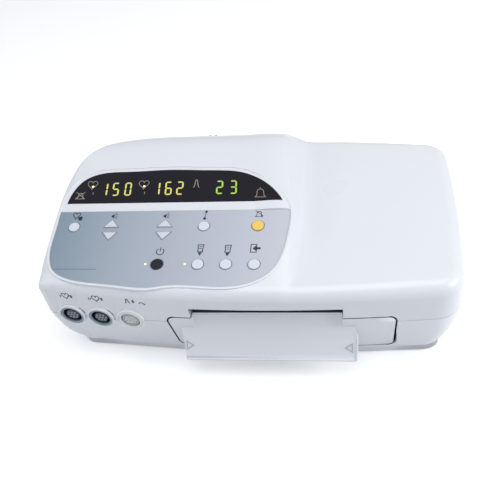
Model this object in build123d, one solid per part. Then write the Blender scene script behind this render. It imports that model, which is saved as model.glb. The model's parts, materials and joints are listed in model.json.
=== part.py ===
from build123d import *
import math
import os

# Desktop fetal heart monitor with a paper recorder.
# X runs to the right, Y to the back, Z up; everything is modelled round the
# upright centre line of the casing and moved to the middle of the footprint
# at the end. All sizes are millimetres.

# Casing outline
BODY_WIDTH = 450.0
FRONT_REACH = 122.5
REAR_REACH = 126.5
FRONT_BOW = 1800.0
REAR_BOW = 1500.0
SIDE_BOW = 1500.0
FRONT_CORNER = 30.0
REAR_LEFT_CORNER = 60.0
REAR_RIGHT_CORNER = 28.0
WALL = 3.0
SEAM_Z = 77.0
SEAM_GAP = 0.5
SEAM_DEPTH = 1.2
OVERRUN = 20.0
CUT_SKIN = 1.0
EDGE_BREAK = 1.0

# Upper casing: dome over the display on the left, flatter hood on the right
CREST_Z = 121.0
CREST_Y = -124.0
PANEL_TILT = 10.0
HOOD_TILT = 3.0
DOME_ROLL_Y = 75.0
DOME_ROLL_R = 62.0
ROLL_LIMIT_SHARE = 0.98
EDGE_R = 13.5
EDGE_SHARES = (1, 0.97, 0.94, 0.9, 0.85)
SKIN_ROWS = 10
FLAT_SHARES = (0, 0.35, 0.65, 0.85)
BLEND_SHARES = (0, 0.12, 0.26, 0.4, 0.5, 0.6, 0.74, 0.88, 1)
CAP_TOP_Z = 175.0
FLANK_FOOT_X = 58.0
FLANK_REAR_X = 63.0
FLANK_TOP_X = 49.0
FLANK_TOP_REAR_X = 27.0
FLANK_TOP_FRONT_X = 20.0
FLANK_STRAIGHT_Y = -62.0
FLANK_BREAK_Y = -12.0

# Lower casing: undercut hull standing on a plinth
FRONT_TUCK = 18.5
REAR_TUCK = 6.0
SIDE_TUCK = 27.0
TUCK_POWER_SHARE = 2.2
HULL_FOOT_Z = 10.0
HULL_ROW_SHARES = (0, 0.25, 0.5, 0.7, 0.86, 1)
PLINTH_STEP = 1.6
FOOT_HEIGHT = 1.5
FLOOR = 3.0

# Control panel, laid out on the tilted face of the dome
PAD_RISE = 0.3
RIM_WIDTH = 2.6
RIM_HEIGHT = 1.0
RIM_ROUND = 0.45
POCKET_PLAY = 0.15
OVERLAY_T = 0.7
WINDOW_T = 2.2
WINDOW_LEDGE = 3.0
PANEL_LEFT_X = -215.0
PANEL_RIGHT_X = 46.6
OVERLAY_TOP_V = 110.2
PANEL_BOTTOM_V = 11.0
PANEL_TOP_V = 175.0
WINDOW_BOTTOM_V = 121.8
WINDOW_MARGIN = 4.0
BEZEL_SHARES = (
    (0.5, 0), (0.69, 0.005), (0.84, 0.02), (0.933, 0.104), (0.982, 0.262), (0.999, 0.433), (0.998, 0.616),
    (0.967, 0.726), (0.861, 0.902), (0.787, 0.96), (0.631, 0.988), (0.44, 1), (0.268, 0.99), (0.107, 0.963),
    (0.0535, 0.909), (0.027, 0.848), (0, 0.652), (0.004, 0.47), (0.016, 0.22), (0.05, 0.116), (0.122, 0.054),
    (0.306, 0.012),
)

# Keys: each is a capped plunger behind the overlay, sprung by the rubber mat
KEY_RADIUS = 6.4
SMALL_KEY_RADIUS = 6.0
ARROW_KEY_WIDTH = 16.0
ARROW_KEY_HEIGHT = 9.6
ARROW_KEY_CORNER = 0.8
KEY_PROUD = 1.2
KEY_EDGE = 0.45
KEY_PLAY = 0.25
KEY_FLANGE = 1.3
KEY_FLANGE_T = 1.2
KEY_SEAT = 0.05
KEY_TRAVEL = 0.8
TRAVEL_SPARE = 0.1
DOME_RADIUS = 3.5
DOME_HEIGHT = 1.5
MAT_T = 1.5
MAT_MARGIN = 4.0
UPPER_ROW_V = 88.1
ARROW_UP_V = 92.4
ARROW_DOWN_V = 75.5
LOWER_ROW_V = 38.8
COLUMN_1_X = -193.3
COLUMN_2_X = -150.0
COLUMN_3_X = -89.0
COLUMN_4_X = -45.3
COLUMN_5_X = -15.9
COLUMN_6_X = 13.5
POWER_LAMP_X = -101.5
RECORD_LAMP_X = -59.0
LAMP_RADIUS = 1.5
LAMP_PLAY = 0.15
LAMP_PROUD = 0.5

# Display board and what stands on it
BOARD_T = 1.6
BOARD_MARGIN = 9.0
DIGIT_PITCH = 14.7
DIGIT_HEIGHT = 25.0
DIGIT_V = 142.3
DIGIT_GAP = 0.4
DIGIT_AIR = 0.3
HEART_RATE_1_X = -157.0
HEART_RATE_2_X = -95.5
UTERINE_X = -34.2
HEART_LAMP_1_X = -186.0
HEART_LAMP_2_X = -123.8
HEART_LAMP_V = 148.3
BOARD_POST_R = 3.5

# Probe sockets on the seam
SOCKET_1_X = -189.8
SOCKET_2_X = -156.3
SOCKET_3_X = -122.2
COLLAR_RADIUS = 15.6
COLLAR_PROUD = 2.2
COLLAR_DEPTH = 14.0
COLLAR_ROUND = 1.0
SOCKET_RADIUS = 13.0
SOCKET_PLAY = 0.2
SOCKET_SINK = 0.6
SOCKET_LENGTH = 17.0
SOCKET_BORE = 10.6
SOCKET_BORE_DEPTH = 13.0
INSERT_RADIUS = 8.75
INSERT_SINK = 6.0
CONTACT_RADIUS = 0.9
CONTACT_DEPTH = 4.0
CONTACT_PITCH = 3.6
SOCKET_BOARD_HEIGHT = 34.0
SEAT_GAP = 0.3

# Paper drawer: front with the curved paper ramp, tray, platen
DOOR_LEFT_X = -80.0
DOOR_RIGHT_X = 155.0
DOOR_BOTTOM_Z = 18.0
DOOR_TOP_Z = 84.0
DOOR_CORNER = 7.0
DOOR_GAP = 1.0
DOOR_CUT_DEPTH = 32.0
DOOR_T = 4.0
RAMP_LEFT_X = -54.0
RAMP_RIGHT_X = 102.0
RAMP_TOP_Z = 96.2
RAMP_TOP_Y = -112.5
RAMP_KNEE_Z = 61.0
RAMP_KNEE_Y = -119.0
LIP_Z = 29.0
LIP_Y = -136.0
RAMP_T = 3.0
CHEEK_T = 2.4
FLAP_LEFT_X = -69.0
FLAP_RIGHT_X = 115.0
FLAP_TAPER = 3.0
FLAP_RIB = 7.0
FLAP_CORNER = 3.0
SLOT_HEIGHT = 2.8
SLOT_FRAME_DEPTH = 12.0
SLOT_FRAME_T = 2.0
SLOT_FRAME_LAP = 0.1
NOTCH_GAP = 0.8
DRAWER_TRAVEL = 95.0
TRAY_WALL = 2.5
TRAY_GAP = 0.2
TRAY_BOTTOM_Z = 22.0
TRAY_REAR_Y = -4.0
TRAY_SIDE_Z = 48.0
TRAY_EAR_Z = 83.0
TRAY_EAR_FRONT_Y = -108.0
TRAY_EAR_REAR_Y = -91.5
TRAY_EAR_CORNER = 5.0
TRAY_RIB_PITCH = 26.0
TRAY_RIB_H = 1.2
ARM_Z = 30.0
ARM_T = 3.0
ARM_REACH = 6.0
PAPER_WIDTH = 152.0
PAPER_LENGTH = 90.0
PAPER_STACK = 15.0
PAPER_REST = 0.1
PAPER_FOLDS = 5
FOLD_NOTCH = 0.8
PLATEN_Y = -100.0
PLATEN_Z = 74.0
PLATEN_RADIUS = 8.0
PLATEN_END_GAP = 1.0
SHAFT_RADIUS = 2.5
SHAFT_FIT = 0.04
BUSH_RADIUS = 4.5
BUSH_FLANGE = 1.2
BUSH_FLANGE_T = 0.8
BUSH_FIT = 0.05
GEAR_MODULE = 0.8
PLATEN_TEETH = 20
PINION_TEETH = 14
GEAR_WIDTH = 4.5
GEAR_SIDE_GAP = 1.0
GEAR_PLAY = 0.12
GEAR_BACKLASH = 0.16
PRESSURE_ANGLE = 20.0
DEDENDUM_SHARE = 1.25
FLANK_SHARES = (0, 0.35, 0.7, 1)

# Drawer rails
RAIL_PLAY = 0.25
RAIL_T = 2.0
RAIL_FRONT_Y = -93.0
RAIL_REAR_Y = 60.0
RAIL_LAP = 28.0
RAIL_LEG = 10.0
RAIL_LEGS = 3

# Paper drive and print head
MOTOR_SIDE = 35.0
MOTOR_LENGTH = 26.0
MOTOR_CORNER = 4.0
MOTOR_SPIGOT = 8.0
MOTOR_BRACKET_T = 1.5
MOTOR_BRACKET_LEG_X = 146.0
HEAD_AIR = 0.3
HEAD_T = 7.0
HEAD_BOTTOM_Z = 63.0
HEAD_TOP_Z = 86.0
HEAD_FIN_PITCH = 5.0
HEAD_FIN_CUT = 2.5
HEAD_FIN_DEPTH = 3.5
HEAD_SPRING_ROOM = 4.0
HEAD_SPRING_T = 0.4
HEAD_SPRING_WIDTH = 8.0
HEAD_SPRING_SPAN = 16.0
HEAD_PAD_WIDTH = 51.0
HEAD_BRACKET_T = 1.5
HEAD_BRACKET_REACH = 22.0
HEAD_BRACKET_Z = 90.0
HEAD_BOSS_R = 5.0
HEAD_BOSS_INSET = 26.0

# Inside the lower casing
MAIN_BOARD_LEFT_X = -172.0
MAIN_BOARD_RIGHT_X = -76.0
MAIN_BOARD_FRONT_Y = -8.0
MAIN_BOARD_REAR_Y = 96.0
MAIN_BOARD_Z = 13.0
STANDOFF_R = 3.0
STANDOFF_INSET = 7.0
CHIP_T = 2.4
CHIP_SHARES = ((0.28, 0.3, 0.26), (0.68, 0.34, 0.2), (0.3, 0.7, 0.16), (0.7, 0.72, 0.22))
TRANSFORMER_X = 160.0
TRANSFORMER_Y = 14.0
CORE_WIDTH = 58.0
CORE_DEPTH = 26.0
CORE_HEIGHT = 48.0
CORE_LEG = 10.0
COIL_DEPTH = 44.0
COIL_GAP = 0.3
POWER_BOARD_LEFT_X = 96.0
POWER_BOARD_RIGHT_X = 186.0
POWER_BOARD_FRONT_Y = 66.0
POWER_BOARD_REAR_Y = 98.0
CAPACITOR_R = 8.0
CAPACITOR_H = 22.0
CAPACITOR_SHARES = (0.15, 0.38, 0.61)
SPEAKER_X = -150.0
SPEAKER_Y = -46.0
SPEAKER_RADIUS = 26.0
SPEAKER_HEIGHT = 18.0
SPEAKER_FLANGE = 1.5
SPEAKER_MAGNET_R = 13.0
SPEAKER_MAGNET_H = 7.0
SPEAKER_NECK_R = 11.0
SPEAKER_SHELL = 1.2
CONE_T = 0.6
GRILLE_SLOTS = 7
GRILLE_PITCH = 6.0
GRILLE_SLOT = 2.6

# Rear connector field
REAR_LEFT_X = -96.0
REAR_RIGHT_X = 176.0
REAR_BOTTOM_Z = 17.0
REAR_TOP_Z = 68.0
REAR_PLATE_Y = 109.0
REAR_PLATE_T = 1.6
REAR_FRAME_T = 2.5
REAR_CORNER = 4.0
INLET_X = 146.0
INLET_Z = 38.0
INLET_WIDTH = 30.0
INLET_HEIGHT = 24.0
INLET_BEZEL = 3.0
INLET_BEZEL_T = 3.0
INLET_DEPTH = 24.0
INLET_WELL_WIDTH = 24.4
INLET_WELL_HEIGHT = 16.4
INLET_WELL_DEPTH = 17.0
INLET_WELL_CHAMFER = 4.5
BLADE_LENGTH = 10.0
BLADE_WIDTH = 4.0
BLADE_T = 2.0
BLADE_PITCH = 7.0
BLADE_DROP = 2.0
FUSE_X = 108.0
FUSE_RADIUS = 7.0
FUSE_NECK_R = 6.0
FUSE_CAP_H = 5.0
FUSE_SLOT = 1.6
BOND_X = 78.0
BOND_NUT_R = 5.5
BOND_NUT_H = 4.0
BOND_STUD_R = 3.0
BOND_STUD_L = 13.0
PORT_XS_SHARES = (0.10, 0.26, 0.42)
PORT_WIDTH = 31.0
PORT_HEIGHT = 12.5
PORT_SHELL_WIDTH = 17.0
PORT_SHELL_HEIGHT = 8.4
PORT_SHELL_SLANT = 1.4
PORT_FLANGE_T = 1.2
PORT_SHELL_H = 5.0
PORT_BODY_DEPTH = 10.0
PORT_SCREW_R = 2.4
PORT_SCREW_BORE_R = 1.0
PORT_HOLE_PLAY = 0.5
PORT_SCREW_PITCH = 25.0
PORT_SCREW_H = 4.6

# Cable hook at the back of the dome
HOOK_X = -62.0
HOOK_PITCH = 7.4
HOOK_PIN_R = 1.6
HOOK_TIP_Z = 136.5
HOOK_PIN_Y = 132.0
HOOK_PLATE_WIDTH = 18.0
HOOK_PLATE_BOTTOM_Z = 96.0
HOOK_PLATE_TOP_Z = 118.0
HOOK_PLATE_T = 2.0
HOOK_ARM_T = 4.0

# Feet and case screws
FOOT_RADIUS = 8.0
FOOT_CHAMFER = 0.5
FOOT_X = 160.0
FOOT_FRONT_Y = -74.0
FOOT_REAR_Y = 92.0
POST_RADIUS = 5.0
SCREW_PLACES = ((-172.0, -80.0), (-186.0, 62.0), (186.0, -52.0), (186.0, 56.0))
POST_AIR = 1.0
POST_SPLIT_Z = 30.0
SCREW_RADIUS = 2.0
SCREW_PLAY = 0.1
SCREW_LENGTH = 14.0
SCREW_HEAD_R = 3.6
SCREW_HEAD_H = 2.6
SCREW_HEAD_PLAY = 0.5
SCREW_SEAT = 5.0

# Worked out from the sizes above
HALF_WIDTH = BODY_WIDTH / 2
FRONT_Y = -FRONT_REACH
REAR_Y = REAR_REACH
OUT = HALF_WIDTH + OVERRUN
PANEL_NORMAL = Vector(0, -math.sin(math.radians(PANEL_TILT)), math.cos(math.radians(PANEL_TILT)))
PANEL_ORIGIN = Vector(0, CREST_Y, CREST_Z) + PANEL_NORMAL * PAD_RISE
PANEL = Plane(origin=PANEL_ORIGIN, x_dir=(1, 0, 0), z_dir=PANEL_NORMAL)
PLATE_T = WALL + PAD_RISE
KEY_FLANGE_TOP = PLATE_T + KEY_SEAT
KEY_BOTTOM = KEY_FLANGE_TOP + KEY_FLANGE_T
DOME_TOP_DEPTH = KEY_BOTTOM + KEY_TRAVEL + TRAVEL_SPARE
MAT_TOP_DEPTH = DOME_TOP_DEPTH + DOME_HEIGHT
BOARD_DEPTH = MAT_TOP_DEPTH + MAT_T
PLATEN_PITCH_R = GEAR_MODULE * PLATEN_TEETH / 2
PINION_PITCH_R = GEAR_MODULE * PINION_TEETH / 2
GEAR_CENTRES = PLATEN_PITCH_R + PINION_PITCH_R + GEAR_PLAY
PINION_Y = PLATEN_Y + GEAR_CENTRES
TRAY_LEFT_X = RAMP_LEFT_X - TRAY_WALL
TRAY_RIGHT_X = RAMP_RIGHT_X + TRAY_WALL
GEAR_X = TRAY_RIGHT_X + BUSH_FLANGE_T + GEAR_SIDE_GAP
MOTOR_X = GEAR_X + GEAR_WIDTH + GEAR_SIDE_GAP + MOTOR_BRACKET_T
NOTCH_TOP_Z = RAMP_TOP_Z + SLOT_HEIGHT
ARM_TAIL_Y = RAIL_FRONT_Y + DRAWER_TRAVEL + RAIL_LAP

parts = {}


# Small helpers

def group(shapes):
    """Several like pieces kept as one set of solids."""
    return Compound([solid for shape in shapes for solid in shape.solids()])


def span_box(x0, x1, y0, y1, z0, z1):
    """Box between two corners."""
    return Pos(x0, y0, z0) * Box(x1 - x0, y1 - y0, z1 - z0, align=(Align.MIN, Align.MIN, Align.MIN))


def disc(radius, x, y, z0, z1):
    """Upright cylinder between two heights."""
    return Pos(x, y, z0) * Cylinder(radius, z1 - z0, align=(Align.CENTER, Align.CENTER, Align.MIN))


def bar_x(radius, y, z, x0, x1):
    """Cylinder along X between two places."""
    bar = Cylinder(radius, x1 - x0, align=(Align.CENTER, Align.CENTER, Align.MIN))
    return Pos(x0, y, z) * Rot(0, 90, 0) * bar


def bow_drop(radius, reach):
    """How far a bowed side has fallen back at this distance from its middle."""
    return radius - math.sqrt(radius ** 2 - reach ** 2)


def raised(sketch, height):
    """Flat outline raised straight up."""
    return extrude(sketch, height, dir=(0, 0, 1))


def on_panel(u, v, depth=0.0):
    """Place on the control panel: u to the right, v up the slope, depth below it."""
    return PANEL.location * Pos(u, v, -depth)


def panel_slab(sketch, depth0, depth1):
    """Sketch in panel coordinates as a slab between two depths below the panel."""
    return PANEL.location * Pos(0, 0, -depth1) * raised(sketch, depth1 - depth0)


def one_solid(shape):
    """Largest solid of a result, as a plain part."""
    return Part() + max(shape.solids(), key=lambda solid: solid.volume)


# Casing forms

def plan_outline(z, side_in, front_in, rear_in):
    """Bowed rectangle with round corners, drawn in by these amounts."""
    w = HALF_WIDTH - side_in
    f = FRONT_REACH - front_in
    r = REAR_REACH - rear_in
    x = w - bow_drop(SIDE_BOW, (f + r) / 2)
    y0 = -f + bow_drop(FRONT_BOW, x)
    y1 = r - bow_drop(REAR_BOW, x)
    middle = (y0 + y1) / 2
    edges = (
        ThreePointArc((-x, y0), (0, -f), (x, y0))
        + ThreePointArc((x, y0), (w, middle), (x, y1))
        + ThreePointArc((x, y1), (0, r), (-x, y1))
        + ThreePointArc((-x, y1), (-w, middle), (-x, y0))
    )
    face = make_face(edges)
    shrink = min(side_in, front_in, rear_in)
    for corner_x, corner_y, radius in (
        (-x, y0, FRONT_CORNER), (x, y0, FRONT_CORNER),
        (-x, y1, REAR_LEFT_CORNER), (x, y1, REAR_RIGHT_CORNER),
    ):
        corner = face.vertices().sort_by_distance((corner_x, corner_y, 0))[0]
        face = fillet(corner, radius - shrink)
    return Pos(0, 0, z) * face


def roll(distance, radius):
    """Drop of a round that starts at distance zero."""
    reach = min(max(distance, 0), radius * ROLL_LIMIT_SHARE)
    return radius - math.sqrt(radius ** 2 - reach ** 2)


def dome_z(y):
    """Height of the dome along its length."""
    slope = math.tan(math.radians(PANEL_TILT))
    return CREST_Z + slope * (y - CREST_Y) - roll(y - DOME_ROLL_Y, DOME_ROLL_R)


def hood_z(y):
    """Height of the hood, which leaves the dome at the front crest."""
    return CREST_Z + math.tan(math.radians(HOOD_TILT)) * (y - CREST_Y)


def blend_ends(y):
    """Where the flank of the dome starts and where it meets the hood."""
    if y < FLANK_STRAIGHT_Y:
        share = min((FLANK_STRAIGHT_Y - y) / (FLANK_STRAIGHT_Y - CREST_Y), 1)
        return FLANK_TOP_X + (FLANK_TOP_FRONT_X - FLANK_TOP_X) * share ** 2, FLANK_FOOT_X
    share = min(max((y - FLANK_BREAK_Y) / (REAR_REACH - FLANK_BREAK_Y), 0), 1)
    top = FLANK_TOP_X + (FLANK_TOP_REAR_X - FLANK_TOP_X) * math.sin(share * math.pi / 2)
    return top, FLANK_FOOT_X + (FLANK_REAR_X - FLANK_FOOT_X) * share


def skin_section(y, sink):
    """Section across the casing under its top skin, sunk by a wall for the inside."""
    start, end = blend_ends(y)
    xs = [-OUT + (start + OUT) * share for share in FLAT_SHARES]
    xs += [start + (end - start) * share for share in BLEND_SHARES]
    xs += [end + (OUT - end) * (1 - share) for share in reversed(FLAT_SHARES)]
    points = []
    for x in xs:
        share = min(max((x - start) / (end - start), 0), 1)
        weight = (1 + math.cos(math.pi * share)) / 2
        z = hood_z(y) + (dome_z(y) - hood_z(y)) * weight - sink
        points.append(Vector(x, y, z))
    low = SEAM_Z - OVERRUN
    rest = Polyline(points[-1], (OUT, y, low), (-OUT, y, low), points[0])
    return make_face(Spline(*points) + rest)


def cap_form(inset, base_z, edge):
    """Upper casing as a solid, drawn in by a wall for its inside."""
    barrel = raised(plan_outline(base_z, inset, inset, inset), CAP_TOP_Z - base_z)
    span = REAR_REACH - CREST_Y
    rows = [index / SKIN_ROWS for index in range(-1, SKIN_ROWS + 2)]
    sections = [skin_section(CREST_Y + span * share, inset) for share in rows]
    body = one_solid(barrel & loft(sections))
    top = body.faces().sort_by(lambda face: face.center().Z)[-1]
    for share in EDGE_SHARES:
        try:
            return one_solid(fillet(top.edges(), edge * share))
        except ValueError:
            continue
    return body


def hull_form(inset, top_z, foot_z):
    """Lower casing as a solid between two heights, drawn in by a wall for its inside."""
    depth = SEAM_Z - HULL_FOOT_Z
    sections = []
    for share in HULL_ROW_SHARES:
        z = top_z + (foot_z - top_z) * share
        down = (SEAM_Z - z) / depth
        side = SIDE_TUCK * max(down, 0) ** TUCK_POWER_SHARE
        sections.append(plan_outline(z, side + inset, FRONT_TUCK * down + inset, REAR_TUCK * down + inset))
    return loft(sections)


def plinth_form(inset, z0, z1):
    """Straight plinth under the hull."""
    outline = plan_outline(
        z0, SIDE_TUCK + PLINTH_STEP + inset, FRONT_TUCK + PLINTH_STEP + inset, REAR_TUCK + PLINTH_STEP + inset
    )
    return raised(outline, z1 - z0)


# Outlines on the control panel, in panel coordinates

def bezel_outline(grow=0.0):
    """Field inside the raised rim, as one smooth closed curve, grown outwards square to itself."""
    width = PANEL_RIGHT_X - PANEL_LEFT_X
    height = PANEL_TOP_V - PANEL_BOTTOM_V
    points = [(PANEL_LEFT_X + width * x, PANEL_BOTTOM_V + height * v) for x, v in BEZEL_SHARES]
    moved = []
    for index, (x, v) in enumerate(points):
        x0, v0 = points[index - 1]
        x1, v1 = points[(index + 1) % len(points)]
        length = math.hypot(x1 - x0, v1 - v0)
        moved.append((x + grow * (v1 - v0) / length, v - grow * (x1 - x0) / length))
    return make_face(Spline(*moved, periodic=True))


def below(v):
    """All of the panel below a height, for cutting outlines."""
    return Pos(0, v) * Rectangle(2 * OUT, 2 * OUT, align=(Align.CENTER, Align.MAX))


def overlay_outline():
    """Keypad overlay: the lower part of the field inside the rim."""
    return BEZEL & below(OVERLAY_TOP_V)


def window_outline(shrink=0.0):
    """Arch-topped display window."""
    return bezel_outline(-WINDOW_MARGIN - shrink) - below(WINDOW_BOTTOM_V + shrink)


def key_outlines():
    """Each key's place on the panel and its outline, grown by any play."""
    def arrow(up, grow):
        half = ARROW_KEY_WIDTH / 2 + grow * 2
        rise = ARROW_KEY_HEIGHT / 2 + grow
        tip = rise + grow
        side = 1 if up else -1
        corners = Polyline((-half, -rise * side), (half, -rise * side), (0, tip * side), close=True)
        face = make_face(corners)
        return fillet(face.vertices(), ARROW_KEY_CORNER + grow)

    def button(radius):
        return lambda grow: Circle(radius + grow)

    return {
        "test_key": (COLUMN_1_X, UPPER_ROW_V, button(SMALL_KEY_RADIUS)),
        "volume_up_key_1": (COLUMN_2_X, ARROW_UP_V, lambda grow: arrow(True, grow)),
        "volume_down_key_1": (COLUMN_2_X, ARROW_DOWN_V, lambda grow: arrow(False, grow)),
        "volume_up_key_2": (COLUMN_3_X, ARROW_UP_V, lambda grow: arrow(True, grow)),
        "volume_down_key_2": (COLUMN_3_X, ARROW_DOWN_V, lambda grow: arrow(False, grow)),
        "reference_key": (COLUMN_4_X, UPPER_ROW_V, button(SMALL_KEY_RADIUS)),
        "alarm_silence_key": (COLUMN_6_X, UPPER_ROW_V, button(KEY_RADIUS)),
        "power_key": (COLUMN_3_X, LOWER_ROW_V, button(KEY_RADIUS)),
        "record_key": (COLUMN_4_X, LOWER_ROW_V, button(SMALL_KEY_RADIUS)),
        "paper_advance_key": (COLUMN_5_X, LOWER_ROW_V, button(SMALL_KEY_RADIUS)),
        "mark_key": (COLUMN_6_X, LOWER_ROW_V, button(SMALL_KEY_RADIUS)),
    }


KEYS = key_outlines()
LAMPS = ((POWER_LAMP_X, LOWER_ROW_V), (RECORD_LAMP_X, LOWER_ROW_V))
BEZEL = bezel_outline()


# Paper ramp and drawer front

def ramp_curve(shift=0.0):
    """Curve of the paper ramp from the slot to the lip, in the YZ plane."""
    return (
        (RAMP_TOP_Y + shift, RAMP_TOP_Z),
        (RAMP_KNEE_Y + shift, RAMP_KNEE_Z),
        (LIP_Y + shift, LIP_Z),
    )


def side_profile(edges, x0, x1):
    """Closed outline drawn in the YZ plane, as a bar along X."""
    face = make_face(edges)
    return Pos(x0, 0, 0) * extrude(Plane.YZ * face, x1 - x0, dir=(1, 0, 0))


def ramp_front_region(x0, x1):
    """All that lies in front of the ramp's curve."""
    top, knee, lip = ramp_curve()
    far = FRONT_Y - OVERRUN * 2
    edges = ThreePointArc(top, knee, lip) + Polyline(lip, (far, LIP_Z), (far, RAMP_TOP_Z), top)
    return side_profile(edges, x0, x1)


def ramp_plate(x0, x1, z_low):
    """Curved plate of the ramp down to a height."""
    top, knee, lip = ramp_curve()
    back_top, back_knee, back_lip = ramp_curve(RAMP_T)
    edges = (
        ThreePointArc(top, knee, lip)
        + Line(lip, back_lip)
        + ThreePointArc(back_lip, back_knee, back_top)
        + Line(back_top, top)
    )
    plate = side_profile(edges, x0, x1)
    keep = span_box(
        x0 - CUT_SKIN, x1 + CUT_SKIN, LIP_Y - OVERRUN, RAMP_TOP_Y + OVERRUN, z_low, RAMP_TOP_Z + OVERRUN
    )
    return plate & keep


def door_outline(grow):
    """Front view of the drawer front, in the XZ plane."""
    width = DOOR_RIGHT_X - DOOR_LEFT_X + 2 * grow
    height = DOOR_TOP_Z - DOOR_BOTTOM_Z + 2 * grow
    centre = Pos((DOOR_LEFT_X + DOOR_RIGHT_X) / 2, (DOOR_TOP_Z + DOOR_BOTTOM_Z) / 2)
    return centre * RectangleRounded(width, height, DOOR_CORNER + grow)


def front_prism(outline, y0, y1):
    """Outline drawn in the XZ plane, as a bar along Y."""
    return Pos(0, y0, 0) * extrude(Plane.XZ * outline, y1 - y0, dir=(0, 1, 0))


def slot_notch(grow_side, z1):
    """Front view of the notch that the ramp's tongue stands in."""
    x0 = RAMP_LEFT_X - grow_side
    x1 = RAMP_RIGHT_X + grow_side
    z0 = DOOR_TOP_Z - DOOR_CORNER
    return Pos((x0 + x1) / 2, (z0 + z1) / 2) * Rectangle(x1 - x0, z1 - z0)


def flap_form():
    """Finger flap below the knee: tapered plate with a folded rib at each end."""
    plate = ramp_plate(FLAP_LEFT_X, FLAP_RIGHT_X, LIP_Z - OVERRUN)
    low = RAMP_KNEE_Z
    x0, x1, t = FLAP_LEFT_X, FLAP_RIGHT_X, FLAP_TAPER
    trim = make_face(Polyline((x0, low), (x0 + t, LIP_Z), (x1 - t, LIP_Z), (x1, low), close=True))
    lower = trim.vertices().group_by(Axis.Y)[0]
    trim = fillet(lower, FLAP_CORNER)
    flap = plate & front_prism(trim, LIP_Y - OVERRUN, RAMP_KNEE_Y + OVERRUN)
    top, knee, lip = ramp_curve(RAMP_T)
    edges = (
        ThreePointArc(*ramp_curve(RAMP_T))
        + Polyline(lip, (lip[0] + FLAP_RIB, LIP_Z), (top[0] + FLAP_RIB, RAMP_TOP_Z), top)
    )
    rib_zone = side_profile(edges, x0, x1) & front_prism(trim, LIP_Y - OVERRUN, RAMP_KNEE_Y + OVERRUN)
    inner = make_face(
        Polyline((x0 + RAMP_T, low + CUT_SKIN), (x0 + t + RAMP_T, LIP_Z - CUT_SKIN),
                 (x1 - t - RAMP_T, LIP_Z - CUT_SKIN), (x1 - RAMP_T, low + CUT_SKIN), close=True)
    )
    ribs = rib_zone - front_prism(inner, LIP_Y - OVERRUN, RAMP_KNEE_Y + OVERRUN)
    return flap + ribs


def drawer_front(outer):
    """Drawer front cut from the casing's own outer form, with ramp, cheeks and flap."""
    panel = outer & front_prism(door_outline(0), FRONT_Y - OVERRUN, FRONT_Y + 2 * OVERRUN)
    panel -= behind_door(DOOR_T)
    recess = ramp_front_region(RAMP_LEFT_X, RAMP_RIGHT_X)
    cheek_zone = span_box(
        RAMP_LEFT_X - CHEEK_T, RAMP_RIGHT_X + CHEEK_T, FRONT_Y - OVERRUN, RAMP_TOP_Y + RAMP_T,
        RAMP_KNEE_Z, DOOR_TOP_Z
    )
    core = outer & cheek_zone
    behind = ramp_front_region(RAMP_LEFT_X - OVERRUN, RAMP_RIGHT_X + OVERRUN)
    cheeks = core & behind
    ramp = ramp_plate(RAMP_LEFT_X, RAMP_RIGHT_X, RAMP_KNEE_Z - DOOR_T)
    side_ramp = ramp_plate(RAMP_LEFT_X - CHEEK_T, RAMP_RIGHT_X + CHEEK_T, RAMP_KNEE_Z)
    backing = side_ramp & span_box(
        RAMP_LEFT_X - CHEEK_T, RAMP_RIGHT_X + CHEEK_T, FRONT_Y - OVERRUN, RAMP_TOP_Y + OVERRUN,
        RAMP_KNEE_Z, DOOR_TOP_Z
    )
    body = panel + cheeks + backing
    body = body - recess
    return one_solid(body + ramp + flap_form())


# Gears

def gear_outline(teeth, phase):
    """Spur gear outline with involute flanks, turned by a phase in degrees."""
    pitch_r = GEAR_MODULE * teeth / 2
    base_r = pitch_r * math.cos(math.radians(PRESSURE_ANGLE))
    tip_r = pitch_r + GEAR_MODULE
    root_r = pitch_r - GEAR_MODULE * DEDENDUM_SHARE
    inv_pitch = math.tan(math.radians(PRESSURE_ANGLE)) - math.radians(PRESSURE_ANGLE)
    half_tooth = math.pi / (2 * teeth) - GEAR_BACKLASH / (2 * pitch_r)

    def half_angle(radius):
        angle = math.acos(min(base_r / radius, 1))
        return half_tooth + inv_pitch - (math.tan(angle) - angle)

    foot_r = max(base_r, root_r)
    flank = [foot_r + (tip_r - foot_r) * share for share in FLANK_SHARES]
    points = []
    for tooth in range(teeth):
        centre = math.radians(phase) + 2 * math.pi * tooth / teeth
        side = [(root_r, half_angle(flank[0]))] + [(radius, half_angle(radius)) for radius in flank]
        for radius, angle in side:
            points.append((radius * math.cos(centre - angle), radius * math.sin(centre - angle)))
        for radius, angle in reversed(side):
            points.append((radius * math.cos(centre + angle), radius * math.sin(centre + angle)))
    return make_face(Polyline(*points, close=True))


def gear_along_x(teeth, phase, y, z, x0, x1):
    """Spur gear whose axis runs along X."""
    return Pos(x0, y, z) * extrude(Plane.YZ * gear_outline(teeth, phase), x1 - x0, dir=(1, 0, 0))


# Sockets

def socket_frame(x):
    """Frame of a socket: its own Z points out of the casing, square to the bowed front."""
    lean = x / FRONT_BOW
    origin = (x, FRONT_Y + bow_drop(FRONT_BOW, x), SEAM_Z)
    square = math.sqrt(1 - lean ** 2)
    return Plane(origin=origin, x_dir=(square, lean, 0), z_dir=(lean, -square, 0))


def socket_disc(x, radius, front, back):
    """Cylinder on a socket's axis between two distances from the casing's face."""
    return socket_frame(x).location * Pos(0, 0, back) * Cylinder(
        radius, front - back, align=(Align.CENTER, Align.CENTER, Align.MIN)
    )


def contact_places():
    """Three rows of contacts across the insert."""
    rows = ((-1, 3), (0, 4), (1, 3))
    places = []
    for row, count in rows:
        for index in range(count):
            places.append(((index - (count - 1) / 2) * CONTACT_PITCH, row * CONTACT_PITCH))
    return places


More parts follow.
